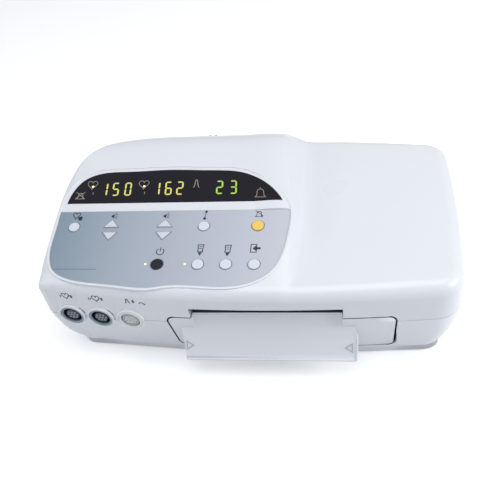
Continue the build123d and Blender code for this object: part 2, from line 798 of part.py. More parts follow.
SOCKETS = {
    "heart_socket_1": SOCKET_1_X,
    "heart_socket_2": SOCKET_2_X,
    "uterine_socket": SOCKET_3_X,
}


def make_sockets():
    """Metal-ringed shells and the moulded inserts that hold the contacts."""
    front = COLLAR_PROUD - SOCKET_SINK
    for name, x in SOCKETS.items():
        shell = socket_disc(x, SOCKET_RADIUS, front, front - SOCKET_LENGTH)
        shell -= socket_disc(x, SOCKET_BORE, front + CUT_SKIN, front - SOCKET_BORE_DEPTH)
        insert = socket_disc(x, INSERT_RADIUS, front - INSERT_SINK, front - SOCKET_BORE_DEPTH)
        holes = [
            socket_frame(x).location * Pos(u, v, front - INSERT_SINK - CONTACT_DEPTH) * Cylinder(
                CONTACT_RADIUS, CONTACT_DEPTH + CUT_SKIN, align=(Align.CENTER, Align.CENTER, Align.MIN)
            )
            for u, v in contact_places()
        ]
        parts[name + "_shell"] = shell
        parts[name + "_insert"] = insert - holes


# Casings

def rear_window(grow, y0, y1):
    """Rear connector field as a bar along Y."""
    width = REAR_RIGHT_X - REAR_LEFT_X + 2 * grow
    height = REAR_TOP_Z - REAR_BOTTOM_Z + 2 * grow
    outline = Pos((REAR_LEFT_X + REAR_RIGHT_X) / 2, (REAR_TOP_Z + REAR_BOTTOM_Z) / 2) * RectangleRounded(
        width, height, REAR_CORNER + grow
    )
    return front_prism(outline, y0, y1)


def collar_rings():
    """Raised collars round the sockets, before they are split at the seam."""
    collars = []
    for x in SOCKETS.values():
        collar = socket_disc(x, COLLAR_RADIUS, COLLAR_PROUD, -COLLAR_DEPTH)
        rim = collar.faces().sort_by(Axis.Y)[0].edges()
        collars.append(fillet(rim, COLLAR_ROUND))
    return collars


def front_openings():
    """What is cut through both casings at the front: sockets, drawer front and paper slot."""
    y0, y1 = FRONT_Y - OVERRUN, FRONT_Y + DOOR_CUT_DEPTH
    cuts = [
        socket_disc(x, SOCKET_RADIUS + SOCKET_PLAY, COLLAR_PROUD + CUT_SKIN, -COLLAR_DEPTH - CUT_SKIN)
        for x in SOCKETS.values()
    ]
    cuts.append(front_prism(door_outline(DOOR_GAP), y0, y1))
    cuts.append(front_prism(slot_notch(NOTCH_GAP, NOTCH_TOP_Z), y0, y1))
    return cuts


def roof_post(radius, x, y, z0):
    """Post hanging from the roof of the upper casing."""
    roof = hood_z(y) if x > FLANK_FOOT_X else dome_z(y)
    return disc(radius, x, y, z0, roof - WALL / 2)


def head_boss_places():
    """Where the print head's bracket is fixed to the roof."""
    y = PLATEN_Y + PLATEN_RADIUS + HEAD_AIR + HEAD_T + HEAD_SPRING_ROOM + HEAD_BRACKET_REACH / 2
    return ((RAMP_LEFT_X + HEAD_BOSS_INSET, y), (RAMP_RIGHT_X - HEAD_BOSS_INSET, y))


def make_upper_casing(cap_outer):
    """Upper casing: shell, socket collars, slot frame, panel with rim, pockets and holes."""
    above = span_box(-OUT, OUT, -OUT, OUT, SEAM_Z, CAP_TOP_Z)
    frame_outline = slot_notch(NOTCH_GAP + SLOT_FRAME_T, NOTCH_TOP_Z + SLOT_FRAME_T)
    frame_front = FRONT_Y + WALL + SLOT_FRAME_LAP
    slot_frame = front_prism(frame_outline, frame_front, FRONT_Y + SLOT_FRAME_DEPTH)
    slot_frame -= span_box(-OUT, OUT, -OUT, OUT, 0, DOOR_TOP_Z + DOOR_GAP)
    rim = panel_slab(bezel_outline(RIM_WIDTH) - BEZEL, -RIM_HEIGHT, WALL)
    crown = rim.faces().sort_by(lambda face: (face.center() - PANEL.origin).dot(PANEL.z_dir))[-1]
    rim = fillet(crown.edges(), RIM_ROUND)
    pad = panel_slab(bezel_outline(CUT_SKIN), 0, WALL)

    upper = cap_outer - cap_form(WALL, SEAM_Z - OVERRUN, EDGE_R - WALL)
    upper = upper + [collar & above for collar in collar_rings()] + [slot_frame, pad, rim]
    for cut in front_openings():
        upper = upper - cut
    upper = upper - panel_slab(bezel_outline(-CUT_SKIN), PLATE_T, PLATE_T + WALL)
    upper = upper - panel_slab(overlay_outline(), -RIM_HEIGHT - CUT_SKIN, OVERLAY_T)
    upper = upper - panel_slab(window_outline(), -RIM_HEIGHT - CUT_SKIN, WINDOW_T)
    upper = upper - panel_slab(window_outline(WINDOW_LEDGE), WINDOW_T - CUT_SKIN, PLATE_T + CUT_SKIN)
    holes = [(u, v, outline(KEY_PLAY)) for u, v, outline in KEYS.values()]
    holes += [(u, v, Circle(LAMP_RADIUS + LAMP_PLAY)) for u, v in LAMPS]
    upper = upper - [
        on_panel(u, v, PLATE_T + CUT_SKIN) * raised(hole, PLATE_T + 2 * CUT_SKIN) for u, v, hole in holes
    ]

    posts = [
        roof_post(POST_RADIUS, x, y, POST_SPLIT_Z)
        - disc(SCREW_RADIUS + SCREW_PLAY, x, y, POST_SPLIT_Z - CUT_SKIN, POST_SPLIT_Z + SCREW_LENGTH)
        for x, y in SCREW_PLACES
    ]
    posts += [roof_post(HEAD_BOSS_R, x, y, HEAD_BRACKET_Z + HEAD_BRACKET_T) for x, y in head_boss_places()]
    posts += [
        on_panel(u, v, BOARD_DEPTH) * raised(Circle(BOARD_POST_R), BOARD_DEPTH - PLATE_T)
        for u, v in board_post_places()
    ]
    parts["top_housing"] = one_solid(upper + posts)


def make_lower_casing(hull_outer):
    """Lower casing: hull on its plinth, collars, rear connector field, posts and grille."""
    under = span_box(-OUT, OUT, -OUT, OUT, 0, SEAM_Z)
    shell = hull_outer + plinth_form(0, FOOT_HEIGHT, HULL_FOOT_Z + CUT_SKIN)
    shell = shell - [
        hull_form(WALL, SEAM_Z + CUT_SKIN, HULL_FOOT_Z),
        plinth_form(WALL, FOOT_HEIGHT + FLOOR, HULL_FOOT_Z + CUT_SKIN),
    ]
    rear_frame = rear_window(REAR_FRAME_T, REAR_PLATE_Y - REAR_FRAME_T, REAR_Y + OVERRUN) & hull_outer
    posts = [disc(POST_RADIUS, x, y, FOOT_HEIGHT + CUT_SKIN, POST_SPLIT_Z) for x, y in SCREW_PLACES]
    posts += [disc(STANDOFF_R, x, y, FOOT_HEIGHT + FLOOR / 2, MAIN_BOARD_Z) for x, y in standoff_places()]
    shell = shell + [collar & under for collar in collar_rings()] + [rear_frame] + posts
    beyond = -COLLAR_PROUD - CUT_SKIN
    seam = plan_outline(SEAM_Z - SEAM_GAP, beyond, beyond, beyond)
    seam -= plan_outline(SEAM_Z - SEAM_GAP, SEAM_DEPTH, SEAM_DEPTH, SEAM_DEPTH)
    for cut in front_openings():
        shell = shell - cut
    shell = shell - rear_window(0, REAR_PLATE_Y, REAR_Y + OVERRUN)
    shell = shell - rear_window(-REAR_FRAME_T, REAR_PLATE_Y - OVERRUN, REAR_Y)
    shell = shell - raised(seam, SEAM_GAP + CUT_SKIN) - grille_slots()
    shell = shell - [
        disc(SCREW_HEAD_R + SCREW_HEAD_PLAY, x, y, 0, POST_SPLIT_Z - SCREW_SEAT) for x, y in SCREW_PLACES
    ]
    shell = shell - [
        disc(SCREW_RADIUS + SCREW_PLAY, x, y, 0, POST_SPLIT_Z + CUT_SKIN) for x, y in SCREW_PLACES
    ]
    parts["bottom_housing"] = one_solid(shell)


def make_casings():
    """Both casings, and the drawer front cut from the same outer form."""
    cap_outer = cap_form(0, SEAM_Z, EDGE_R)
    hull_outer = hull_form(0, SEAM_Z, HULL_FOOT_Z)
    make_upper_casing(cap_outer)
    make_lower_casing(hull_outer)
    block = span_box(DOOR_LEFT_X, DOOR_RIGHT_X, FRONT_Y - OVERRUN, FRONT_Y + 2 * OVERRUN, 0, RAMP_TOP_Z)
    parts["drawer_front"] = drawer_front((cap_outer & block) + (hull_outer & block))


def behind_door(inset):
    """Everything at least this far behind the outer face of the front."""
    outline = plan_outline(SEAM_Z, inset, inset, inset)
    return hull_form(inset, SEAM_Z, HULL_FOOT_Z) + raised(outline, CAP_TOP_Z - SEAM_Z)


def grille_slots():
    """Slots in the floor under the loudspeaker, shorter towards the rim."""
    slots = []
    reach = SPEAKER_RADIUS - GRILLE_SLOT
    for index in range(GRILLE_SLOTS):
        x = (index - (GRILLE_SLOTS - 1) / 2) * GRILLE_PITCH
        half = math.sqrt(reach ** 2 - x ** 2)
        slot = Pos(SPEAKER_X + x, SPEAKER_Y, 0) * SlotOverall(2 * half, GRILLE_SLOT, rotation=90)
        slots.append(raised(slot, FOOT_HEIGHT + FLOOR + CUT_SKIN))
    return slots


def board_post_places():
    """Posts that carry the display board, in panel coordinates."""
    left = PANEL_LEFT_X + BOARD_MARGIN * 2
    right = PANEL_RIGHT_X - BOARD_MARGIN * 2
    low = PANEL_BOTTOM_V + BOARD_MARGIN * 2
    high = WINDOW_BOTTOM_V - BOARD_MARGIN / 2
    middle = (COLUMN_2_X + COLUMN_3_X) / 2
    return (
        (left + BOARD_MARGIN, low), (left, high), (middle, low), (middle, high), (right, high),
        (right, low + BOARD_MARGIN),
    )


def standoff_places():
    """Corners of the main board's fixing pattern."""
    i = STANDOFF_INSET
    return [
        (x, y)
        for x in (MAIN_BOARD_LEFT_X + i, MAIN_BOARD_RIGHT_X - i)
        for y in (MAIN_BOARD_FRONT_Y + i, MAIN_BOARD_REAR_Y - i)
    ]


# Control panel pieces

def make_panel():
    """Window, overlay, keys, rubber mat, lamps, display board and digit modules."""
    window = panel_slab(window_outline(POCKET_PLAY), 0, WINDOW_T)
    parts["display_window"] = window

    overlay_face = bezel_outline(-POCKET_PLAY) & below(OVERLAY_TOP_V - POCKET_PLAY)
    overlay = panel_slab(overlay_face, 0, OVERLAY_T)
    holes = [
        on_panel(u, v, OVERLAY_T + CUT_SKIN) * raised(outline(KEY_PLAY), OVERLAY_T + 2 * CUT_SKIN)
        for u, v, outline in KEYS.values()
    ]
    holes += [
        on_panel(u, v, OVERLAY_T + CUT_SKIN)
        * raised(Circle(LAMP_RADIUS + LAMP_PLAY), OVERLAY_T + 2 * CUT_SKIN)
        for u, v in LAMPS
    ]
    parts["keypad_overlay"] = overlay - holes

    for name, (u, v, outline) in KEYS.items():
        cap = raised(outline(0), KEY_FLANGE_TOP + KEY_PROUD)
        crown = cap.faces().sort_by(Axis.Z)[-1].edges()
        cap = fillet(crown, KEY_EDGE)
        flange = Pos(0, 0, -KEY_FLANGE_T) * raised(outline(KEY_FLANGE), KEY_FLANGE_T)
        parts[name] = on_panel(u, v, KEY_FLANGE_TOP) * (cap + flange)

    board_face = bezel_outline(-BOARD_MARGIN)
    mat_face = bezel_outline(-BOARD_MARGIN - MAT_MARGIN) & below(WINDOW_BOTTOM_V - BOARD_MARGIN)
    mat = panel_slab(mat_face, MAT_TOP_DEPTH, BOARD_DEPTH)
    domes = [
        on_panel(u, v, MAT_TOP_DEPTH) * Cone(
            DOME_RADIUS, DOME_RADIUS - DOME_HEIGHT / 2, DOME_HEIGHT,
            align=(Align.CENTER, Align.CENTER, Align.MIN),
        )
        for u, v, _ in KEYS.values()
    ]
    clear = [
        on_panel(u, v, BOARD_DEPTH + CUT_SKIN) * raised(Circle(radius), MAT_T + 2 * CUT_SKIN)
        for places, radius in (
            (LAMPS, LAMP_RADIUS + LAMP_PLAY), (board_post_places(), BOARD_POST_R + KEY_PLAY)
        )
        for u, v in places
    ]
    wells = [disc(POST_RADIUS + POST_AIR, x, y, SEAM_Z, CAP_TOP_Z) for x, y in SCREW_PLACES]
    wells += [disc(HEAD_BOSS_R + POST_AIR, x, y, SEAM_Z, CAP_TOP_Z) for x, y in head_boss_places()]
    parts["keypad_mat"] = (mat + domes) - clear - wells
    parts["display_board"] = panel_slab(board_face, BOARD_DEPTH, BOARD_DEPTH + BOARD_T) - wells

    status = []
    for u, v in LAMPS:
        lamp = raised(Circle(LAMP_RADIUS), BOARD_DEPTH + LAMP_PROUD)
        tip = lamp.faces().sort_by(Axis.Z)[-1].edges()
        status.append(on_panel(u, v, BOARD_DEPTH) * fillet(tip, LAMP_PROUD))
    parts["status_lamps"] = group(status)

    top = WINDOW_T + DIGIT_AIR
    modules = []
    for centre, count in ((HEART_RATE_1_X, 3), (HEART_RATE_2_X, 3), (UTERINE_X, 3)):
        for index in range(count):
            u = centre + (index - (count - 1) / 2) * DIGIT_PITCH
            modules.append(
                on_panel(u, DIGIT_V, BOARD_DEPTH) * raised(
                    Rectangle(DIGIT_PITCH - DIGIT_GAP, DIGIT_HEIGHT), BOARD_DEPTH - top
                )
            )
    parts["digit_modules"] = group(modules)
    hearts = [
        on_panel(u, HEART_LAMP_V, BOARD_DEPTH) * raised(Circle(LAMP_RADIUS), BOARD_DEPTH - top)
        for u in (HEART_LAMP_1_X, HEART_LAMP_2_X)
    ]
    parts["heart_lamps"] = group(hearts)


# Drawer pieces

def make_tray():
    """Paper tray with bearing ears at the front and slide arms at its sides."""
    x0, x1 = TRAY_LEFT_X, TRAY_RIGHT_X
    front = FRONT_Y
    z0 = TRAY_BOTTOM_Z
    side = Polyline(
        (front, z0), (TRAY_REAR_Y, z0), (TRAY_REAR_Y, TRAY_SIDE_Z),
        (TRAY_EAR_REAR_Y, TRAY_SIDE_Z), (TRAY_EAR_REAR_Y, TRAY_EAR_Z), (TRAY_EAR_FRONT_Y, TRAY_EAR_Z),
        (TRAY_EAR_FRONT_Y, TRAY_SIDE_Z), (front, TRAY_SIDE_Z), close=True,
    )
    side_face = make_face(side)
    ear_tops = [v for v in side_face.vertices() if v.Y > TRAY_EAR_Z - CUT_SKIN]
    side_face = fillet(ear_tops, TRAY_EAR_CORNER)
    tray = side_wall(side_face, x0) + side_wall(side_face, x1 - TRAY_WALL)
    tray += span_box(x0, x1, front, TRAY_REAR_Y, z0, z0 + TRAY_WALL)
    tray += span_box(x0, x1, TRAY_REAR_Y - TRAY_WALL, TRAY_REAR_Y, z0, TRAY_SIDE_Z)
    rib_count = int((x1 - x0 - 2 * TRAY_WALL) / TRAY_RIB_PITCH)
    first = (x0 + x1) / 2 - (rib_count - 1) * TRAY_RIB_PITCH / 2
    for index in range(rib_count):
        x = first + index * TRAY_RIB_PITCH
        tray += span_box(x - TRAY_WALL / 2, x + TRAY_WALL / 2, front, TRAY_REAR_Y,
                         z0 + TRAY_WALL, z0 + TRAY_WALL + TRAY_RIB_H)
    for xa, xb in ((x0 - ARM_REACH, x0 + TRAY_WALL), (x1 - TRAY_WALL, x1 + ARM_REACH)):
        tray += span_box(xa, xb, RAIL_FRONT_Y, TRAY_REAR_Y, ARM_Z, ARM_Z + ARM_T)
        tray += span_box(xa, xb, TRAY_REAR_Y - TRAY_WALL, ARM_TAIL_Y, ARM_Z, ARM_Z + ARM_T)
    tray -= bar_x(BUSH_RADIUS + BUSH_FIT, PLATEN_Y, PLATEN_Z, x0 - CUT_SKIN, x1 + CUT_SKIN)
    return one_solid(tray & behind_door(DOOR_T + TRAY_GAP))


def side_wall(face, x):
    """Side wall of the tray from its outline in the YZ plane."""
    return Pos(x, 0, 0) * extrude(Plane.YZ * face, TRAY_WALL, dir=(1, 0, 0))


def make_drawer():
    """Tray, paper, platen with its shaft, bushes and gear."""
    parts["paper_tray"] = make_tray()

    rest = TRAY_BOTTOM_Z + TRAY_WALL + TRAY_RIB_H + PAPER_REST
    middle = (RAMP_LEFT_X + RAMP_RIGHT_X) / 2
    y1 = TRAY_REAR_Y - TRAY_WALL - FOLD_NOTCH * 2
    y0 = y1 - PAPER_LENGTH
    fold = PAPER_STACK / PAPER_FOLDS
    left, right = [], []
    for index in range(PAPER_FOLDS):
        z = rest + index * fold
        left += [(y0, z), (y0, z + fold - FOLD_NOTCH), (y0 + FOLD_NOTCH, z + fold - FOLD_NOTCH / 2)]
        right += [(y1, z), (y1, z + fold - FOLD_NOTCH), (y1 - FOLD_NOTCH, z + fold - FOLD_NOTCH / 2)]
    pack = make_face(Polyline(*left, *reversed(right), close=True))
    pack = extrude(Plane.YZ * pack, PAPER_WIDTH, dir=(1, 0, 0))
    parts["paper_pack"] = Pos(middle - PAPER_WIDTH / 2, 0, 0) * pack

    inner0 = TRAY_LEFT_X + TRAY_WALL
    inner1 = TRAY_RIGHT_X - TRAY_WALL
    roller0, roller1 = inner0 + PLATEN_END_GAP * 2, inner1 - PLATEN_END_GAP * 2
    roller = bar_x(PLATEN_RADIUS, PLATEN_Y, PLATEN_Z, roller0, roller1)
    roller -= bar_x(SHAFT_RADIUS, PLATEN_Y, PLATEN_Z, inner0, inner1)
    parts["platen_roller"] = roller
    parts["platen_shaft"] = bar_x(
        SHAFT_RADIUS, PLATEN_Y, PLATEN_Z, TRAY_LEFT_X - BUSH_FLANGE_T - PLATEN_END_GAP, GEAR_X + GEAR_WIDTH
    )
    bushes = []
    for wall0, outside in ((TRAY_LEFT_X, -1), (TRAY_RIGHT_X - TRAY_WALL, 1)):
        wall1 = wall0 + TRAY_WALL
        bush = bar_x(BUSH_RADIUS, PLATEN_Y, PLATEN_Z, wall0, wall1)
        flange0 = wall0 - BUSH_FLANGE_T if outside < 0 else wall1
        bush += bar_x(BUSH_RADIUS + BUSH_FLANGE, PLATEN_Y, PLATEN_Z, flange0, flange0 + BUSH_FLANGE_T)
        bush -= bar_x(SHAFT_RADIUS + SHAFT_FIT, PLATEN_Y, PLATEN_Z, wall0 - OVERRUN, wall1 + OVERRUN)
        bushes.append(bush)
    parts["platen_bushes"] = group(bushes)
    gear = gear_along_x(PLATEN_TEETH, 0, PLATEN_Y, PLATEN_Z, GEAR_X, GEAR_X + GEAR_WIDTH)
    gear -= bar_x(SHAFT_RADIUS, PLATEN_Y, PLATEN_Z, GEAR_X - CUT_SKIN, GEAR_X + GEAR_WIDTH + CUT_SKIN)
    parts["platen_gear"] = gear


def make_rails():
    """Channels that the tray's arms slide in, on legs from the floor."""
    rails = []
    z0 = ARM_Z - RAIL_PLAY
    z1 = ARM_Z + ARM_T + RAIL_PLAY
    for edge, inward in ((TRAY_LEFT_X - ARM_REACH, 1), (TRAY_RIGHT_X + ARM_REACH, -1)):
        web_in = edge - inward * RAIL_PLAY
        web_out = web_in - inward * RAIL_T
        lip = edge + inward * (ARM_REACH - CHEEK_T)
        xs = sorted((web_out, lip))
        webs = sorted((web_out, web_in))
        rail = span_box(*xs, RAIL_FRONT_Y, RAIL_REAR_Y, z0 - RAIL_T, z0)
        rail += span_box(*xs, RAIL_FRONT_Y, RAIL_REAR_Y, z1, z1 + RAIL_T)
        rail += span_box(*webs, RAIL_FRONT_Y, RAIL_REAR_Y, z0 - RAIL_T, z1 + RAIL_T)
        pitch = (RAIL_REAR_Y - RAIL_FRONT_Y - RAIL_LEG) / (RAIL_LEGS - 1)
        for index in range(RAIL_LEGS):
            y = RAIL_FRONT_Y + index * pitch
            rail += span_box(*xs, y, y + RAIL_LEG, FOOT_HEIGHT + FLOOR, z0 - RAIL_T)
        rails.append(rail)
    parts["drawer_rails"] = group(rails)


# Recorder mechanism fixed in the casing

def make_recorder():
    """Drive motor with its bracket and pinion, print head with springs and bracket."""
    half = MOTOR_SIDE / 2
    y0, y1 = PINION_Y - half, PINION_Y + half
    z0, z1 = PLATEN_Z - half, PLATEN_Z + half
    can = span_box(MOTOR_X, MOTOR_X + MOTOR_LENGTH, y0, y1, z0, z1)
    can = fillet(can.edges().filter_by(Axis.X), MOTOR_CORNER)
    can -= bar_x(SHAFT_RADIUS + SHAFT_FIT, PINION_Y, PLATEN_Z, MOTOR_X - CUT_SKIN, MOTOR_X + MOTOR_SPIGOT)
    parts["drive_motor"] = can

    pinion_phase = 180.0 + 180.0 / PINION_TEETH
    pinion = gear_along_x(PINION_TEETH, pinion_phase, PINION_Y, PLATEN_Z, GEAR_X, GEAR_X + GEAR_WIDTH)
    pinion += bar_x(SHAFT_RADIUS, PINION_Y, PLATEN_Z, GEAR_X, MOTOR_X + MOTOR_SPIGOT - PLATEN_END_GAP)
    parts["motor_pinion"] = pinion

    t = MOTOR_BRACKET_T
    face_x = MOTOR_X - t
    leg = MOTOR_BRACKET_LEG_X
    floor = FOOT_HEIGHT + FLOOR
    bracket = span_box(face_x, MOTOR_X, y0, y1, z0 - t, z1)
    bracket -= bar_x(MOTOR_SPIGOT, PINION_Y, PLATEN_Z, face_x - CUT_SKIN, MOTOR_X + CUT_SKIN)
    step = Polyline(
        (face_x, z0 - t), (leg - t, z0 - t), (leg - t, floor), (leg + half, floor),
        (leg + half, floor + t), (leg, floor + t), (leg, z0), (face_x, z0), close=True,
    )
    parts["motor_bracket"] = bracket + front_prism(make_face(step), PINION_Y, y1)

    head_y = PLATEN_Y + PLATEN_RADIUS + HEAD_AIR
    back_y = head_y + HEAD_T
    left = RAMP_LEFT_X + PLATEN_END_GAP
    right = RAMP_RIGHT_X - PLATEN_END_GAP
    head = span_box(left, right, head_y, back_y, HEAD_BOTTOM_Z, HEAD_TOP_Z)
    pads = ((left, left + HEAD_PAD_WIDTH), (right - HEAD_PAD_WIDTH, right))
    count = int((right - left - 2 * HEAD_PAD_WIDTH) / HEAD_FIN_PITCH)
    start = (left + right) / 2 - (count - 1) * HEAD_FIN_PITCH / 2
    for index in range(count):
        x = start + index * HEAD_FIN_PITCH
        head -= span_box(
            x - HEAD_FIN_CUT / 2, x + HEAD_FIN_CUT / 2, back_y - HEAD_FIN_DEPTH, back_y + CUT_SKIN,
            HEAD_BOTTOM_Z - CUT_SKIN, HEAD_TOP_Z + CUT_SKIN,
        )
    parts["print_head"] = head

    plate_y = back_y + HEAD_SPRING_ROOM
    bracket_top = HEAD_BRACKET_Z + HEAD_BRACKET_T
    profile = Polyline(
        (plate_y, HEAD_BOTTOM_Z), (plate_y + HEAD_BRACKET_T, HEAD_BOTTOM_Z),
        (plate_y + HEAD_BRACKET_T, HEAD_BRACKET_Z), (plate_y + HEAD_BRACKET_REACH, HEAD_BRACKET_Z),
        (plate_y + HEAD_BRACKET_REACH, bracket_top),
        (plate_y, bracket_top), close=True,
    )
    parts["print_head_bracket"] = side_profile(profile, left, right)

    springs = []
    z = (HEAD_BOTTOM_Z + HEAD_TOP_Z) / 2
    for pad0, pad1 in pads:
        x = (pad0 + pad1) / 2
        inner, outer_y = back_y + TRAVEL_SPARE, plate_y - TRAVEL_SPARE
        span = HEAD_SPRING_SPAN / 2
        thick = HEAD_SPRING_T
        strip = (
            ThreePointArc((x - span, outer_y), (x, inner), (x + span, outer_y))
            + Line((x + span, outer_y), (x + span - thick, outer_y))
            + ThreePointArc((x + span - thick, outer_y), (x, inner + thick), (x - span + thick, outer_y))
            + Line((x - span + thick, outer_y), (x - span, outer_y))
        )
        spring = Pos(0, 0, z - HEAD_SPRING_WIDTH / 2) * raised(make_face(strip), HEAD_SPRING_WIDTH)
        springs.append(spring)
    parts["print_head_springs"] = group(springs)


# Electronics in the lower casing

def make_electronics():
    """Main board, mains transformer, power board, loudspeaker and the socket board."""
    board = span_box(MAIN_BOARD_LEFT_X, MAIN_BOARD_RIGHT_X, MAIN_BOARD_FRONT_Y, MAIN_BOARD_REAR_Y,
                     MAIN_BOARD_Z, MAIN_BOARD_Z + BOARD_T)
    parts["main_board"] = board
    top = MAIN_BOARD_Z + BOARD_T
    width = MAIN_BOARD_RIGHT_X - MAIN_BOARD_LEFT_X
    depth = MAIN_BOARD_REAR_Y - MAIN_BOARD_FRONT_Y
    chips = []
    for x_share, y_share, size_share in CHIP_SHARES:
        side = width * size_share
        x = MAIN_BOARD_LEFT_X + width * x_share
        y = MAIN_BOARD_FRONT_Y + depth * y_share
        chips.append(span_box(x - side / 2, x + side / 2, y - side / 2, y + side / 2, top, top + CHIP_T))
    parts["board_chips"] = group(chips)

    base = FOOT_HEIGHT + FLOOR
    cx, cy = TRANSFORMER_X, TRANSFORMER_Y
    core = span_box(cx - CORE_WIDTH / 2, cx + CORE_WIDTH / 2, cy - CORE_DEPTH / 2, cy + CORE_DEPTH / 2,
                    base, base + CORE_HEIGHT)
    window_width = (CORE_WIDTH - 4 * CORE_LEG) / 2
    for side in (-1, 1):
        x = cx + side * (CORE_LEG + window_width / 2)
        core -= span_box(x - window_width / 2, x + window_width / 2, cy - CORE_DEPTH, cy + CORE_DEPTH,
                         base + CORE_LEG, base + CORE_HEIGHT - CORE_LEG)
    parts["transformer_core"] = core
    reach = CORE_LEG + window_width - COIL_GAP
    coil = span_box(cx - reach, cx + reach, cy - COIL_DEPTH / 2, cy + COIL_DEPTH / 2,
                    base + CORE_LEG + COIL_GAP, base + CORE_HEIGHT - CORE_LEG - COIL_GAP)
    coil = fillet(coil.edges().filter_by(Axis.Z), CORE_LEG / 2)
    coil -= span_box(cx - CORE_LEG - COIL_GAP, cx + CORE_LEG + COIL_GAP, cy - CORE_DEPTH / 2 - COIL_GAP,
                     cy + CORE_DEPTH / 2 + COIL_GAP, base, base + CORE_HEIGHT)
    parts["transformer_coil"] = coil

    parts["power_board"] = span_box(
        POWER_BOARD_LEFT_X, POWER_BOARD_RIGHT_X, POWER_BOARD_FRONT_Y, POWER_BOARD_REAR_Y, base, base + BOARD_T
    )
    caps = []
    for share in CAPACITOR_SHARES:
        x = POWER_BOARD_LEFT_X + (POWER_BOARD_RIGHT_X - POWER_BOARD_LEFT_X) * share
        y = POWER_BOARD_FRONT_Y + CAPACITOR_R + COIL_GAP
        caps.append(disc(CAPACITOR_R, x, y, base + BOARD_T, base + BOARD_T + CAPACITOR_H))
    parts["power_capacitors"] = group(caps)

    z0 = base
    r = SPEAKER_RADIUS
    flange = SPEAKER_FLANGE
    neck_z = z0 + SPEAKER_HEIGHT - SPEAKER_MAGNET_H
    shell = SPEAKER_SHELL
    basket = Polyline(
        (r, z0), (r, z0 + flange), (r - flange, z0 + flange), (SPEAKER_NECK_R + shell, neck_z),
        (SPEAKER_MAGNET_R, neck_z), (SPEAKER_MAGNET_R, z0 + SPEAKER_HEIGHT), (0, z0 + SPEAKER_HEIGHT),
        (0, neck_z - shell), (SPEAKER_NECK_R, neck_z - shell), (r - flange - shell, z0 + flange),
        (r - flange - shell, z0), close=True,
    )
    frame = revolve(Plane.XZ * make_face(basket), Axis.Z)
    parts["speaker_frame"] = Pos(SPEAKER_X, SPEAKER_Y, 0) * frame
    rim = r - flange - 2 * shell
    small = SPEAKER_NECK_R / 2
    cone = Polyline(
        (rim, z0 + CONE_T), (rim, z0 + 2 * CONE_T), (small, neck_z - 2 * shell),
        (0, neck_z - 2 * shell), (0, neck_z - 2 * shell - CONE_T),
        (small, neck_z - 2 * shell - CONE_T), close=True,
    )
    parts["speaker_cone"] = Pos(SPEAKER_X, SPEAKER_Y, 0) * revolve(Plane.XZ * make_face(cone), Axis.Z)

    left = SOCKET_1_X - COLLAR_RADIUS / 2
    right = SOCKET_3_X + COLLAR_RADIUS
    shell_back = SOCKET_LENGTH - (COLLAR_PROUD - SOCKET_SINK) + SOCKET_RADIUS * abs(SOCKET_1_X) / FRONT_BOW
    back = FRONT_Y + bow_drop(FRONT_BOW, SOCKET_1_X) + shell_back + SEAT_GAP
    parts["socket_board"] = span_box(left, right, back, back + BOARD_T,
                                     SEAM_Z - SOCKET_BOARD_HEIGHT / 2, SEAM_Z + SOCKET_BOARD_HEIGHT / 2)


# Rear connector field

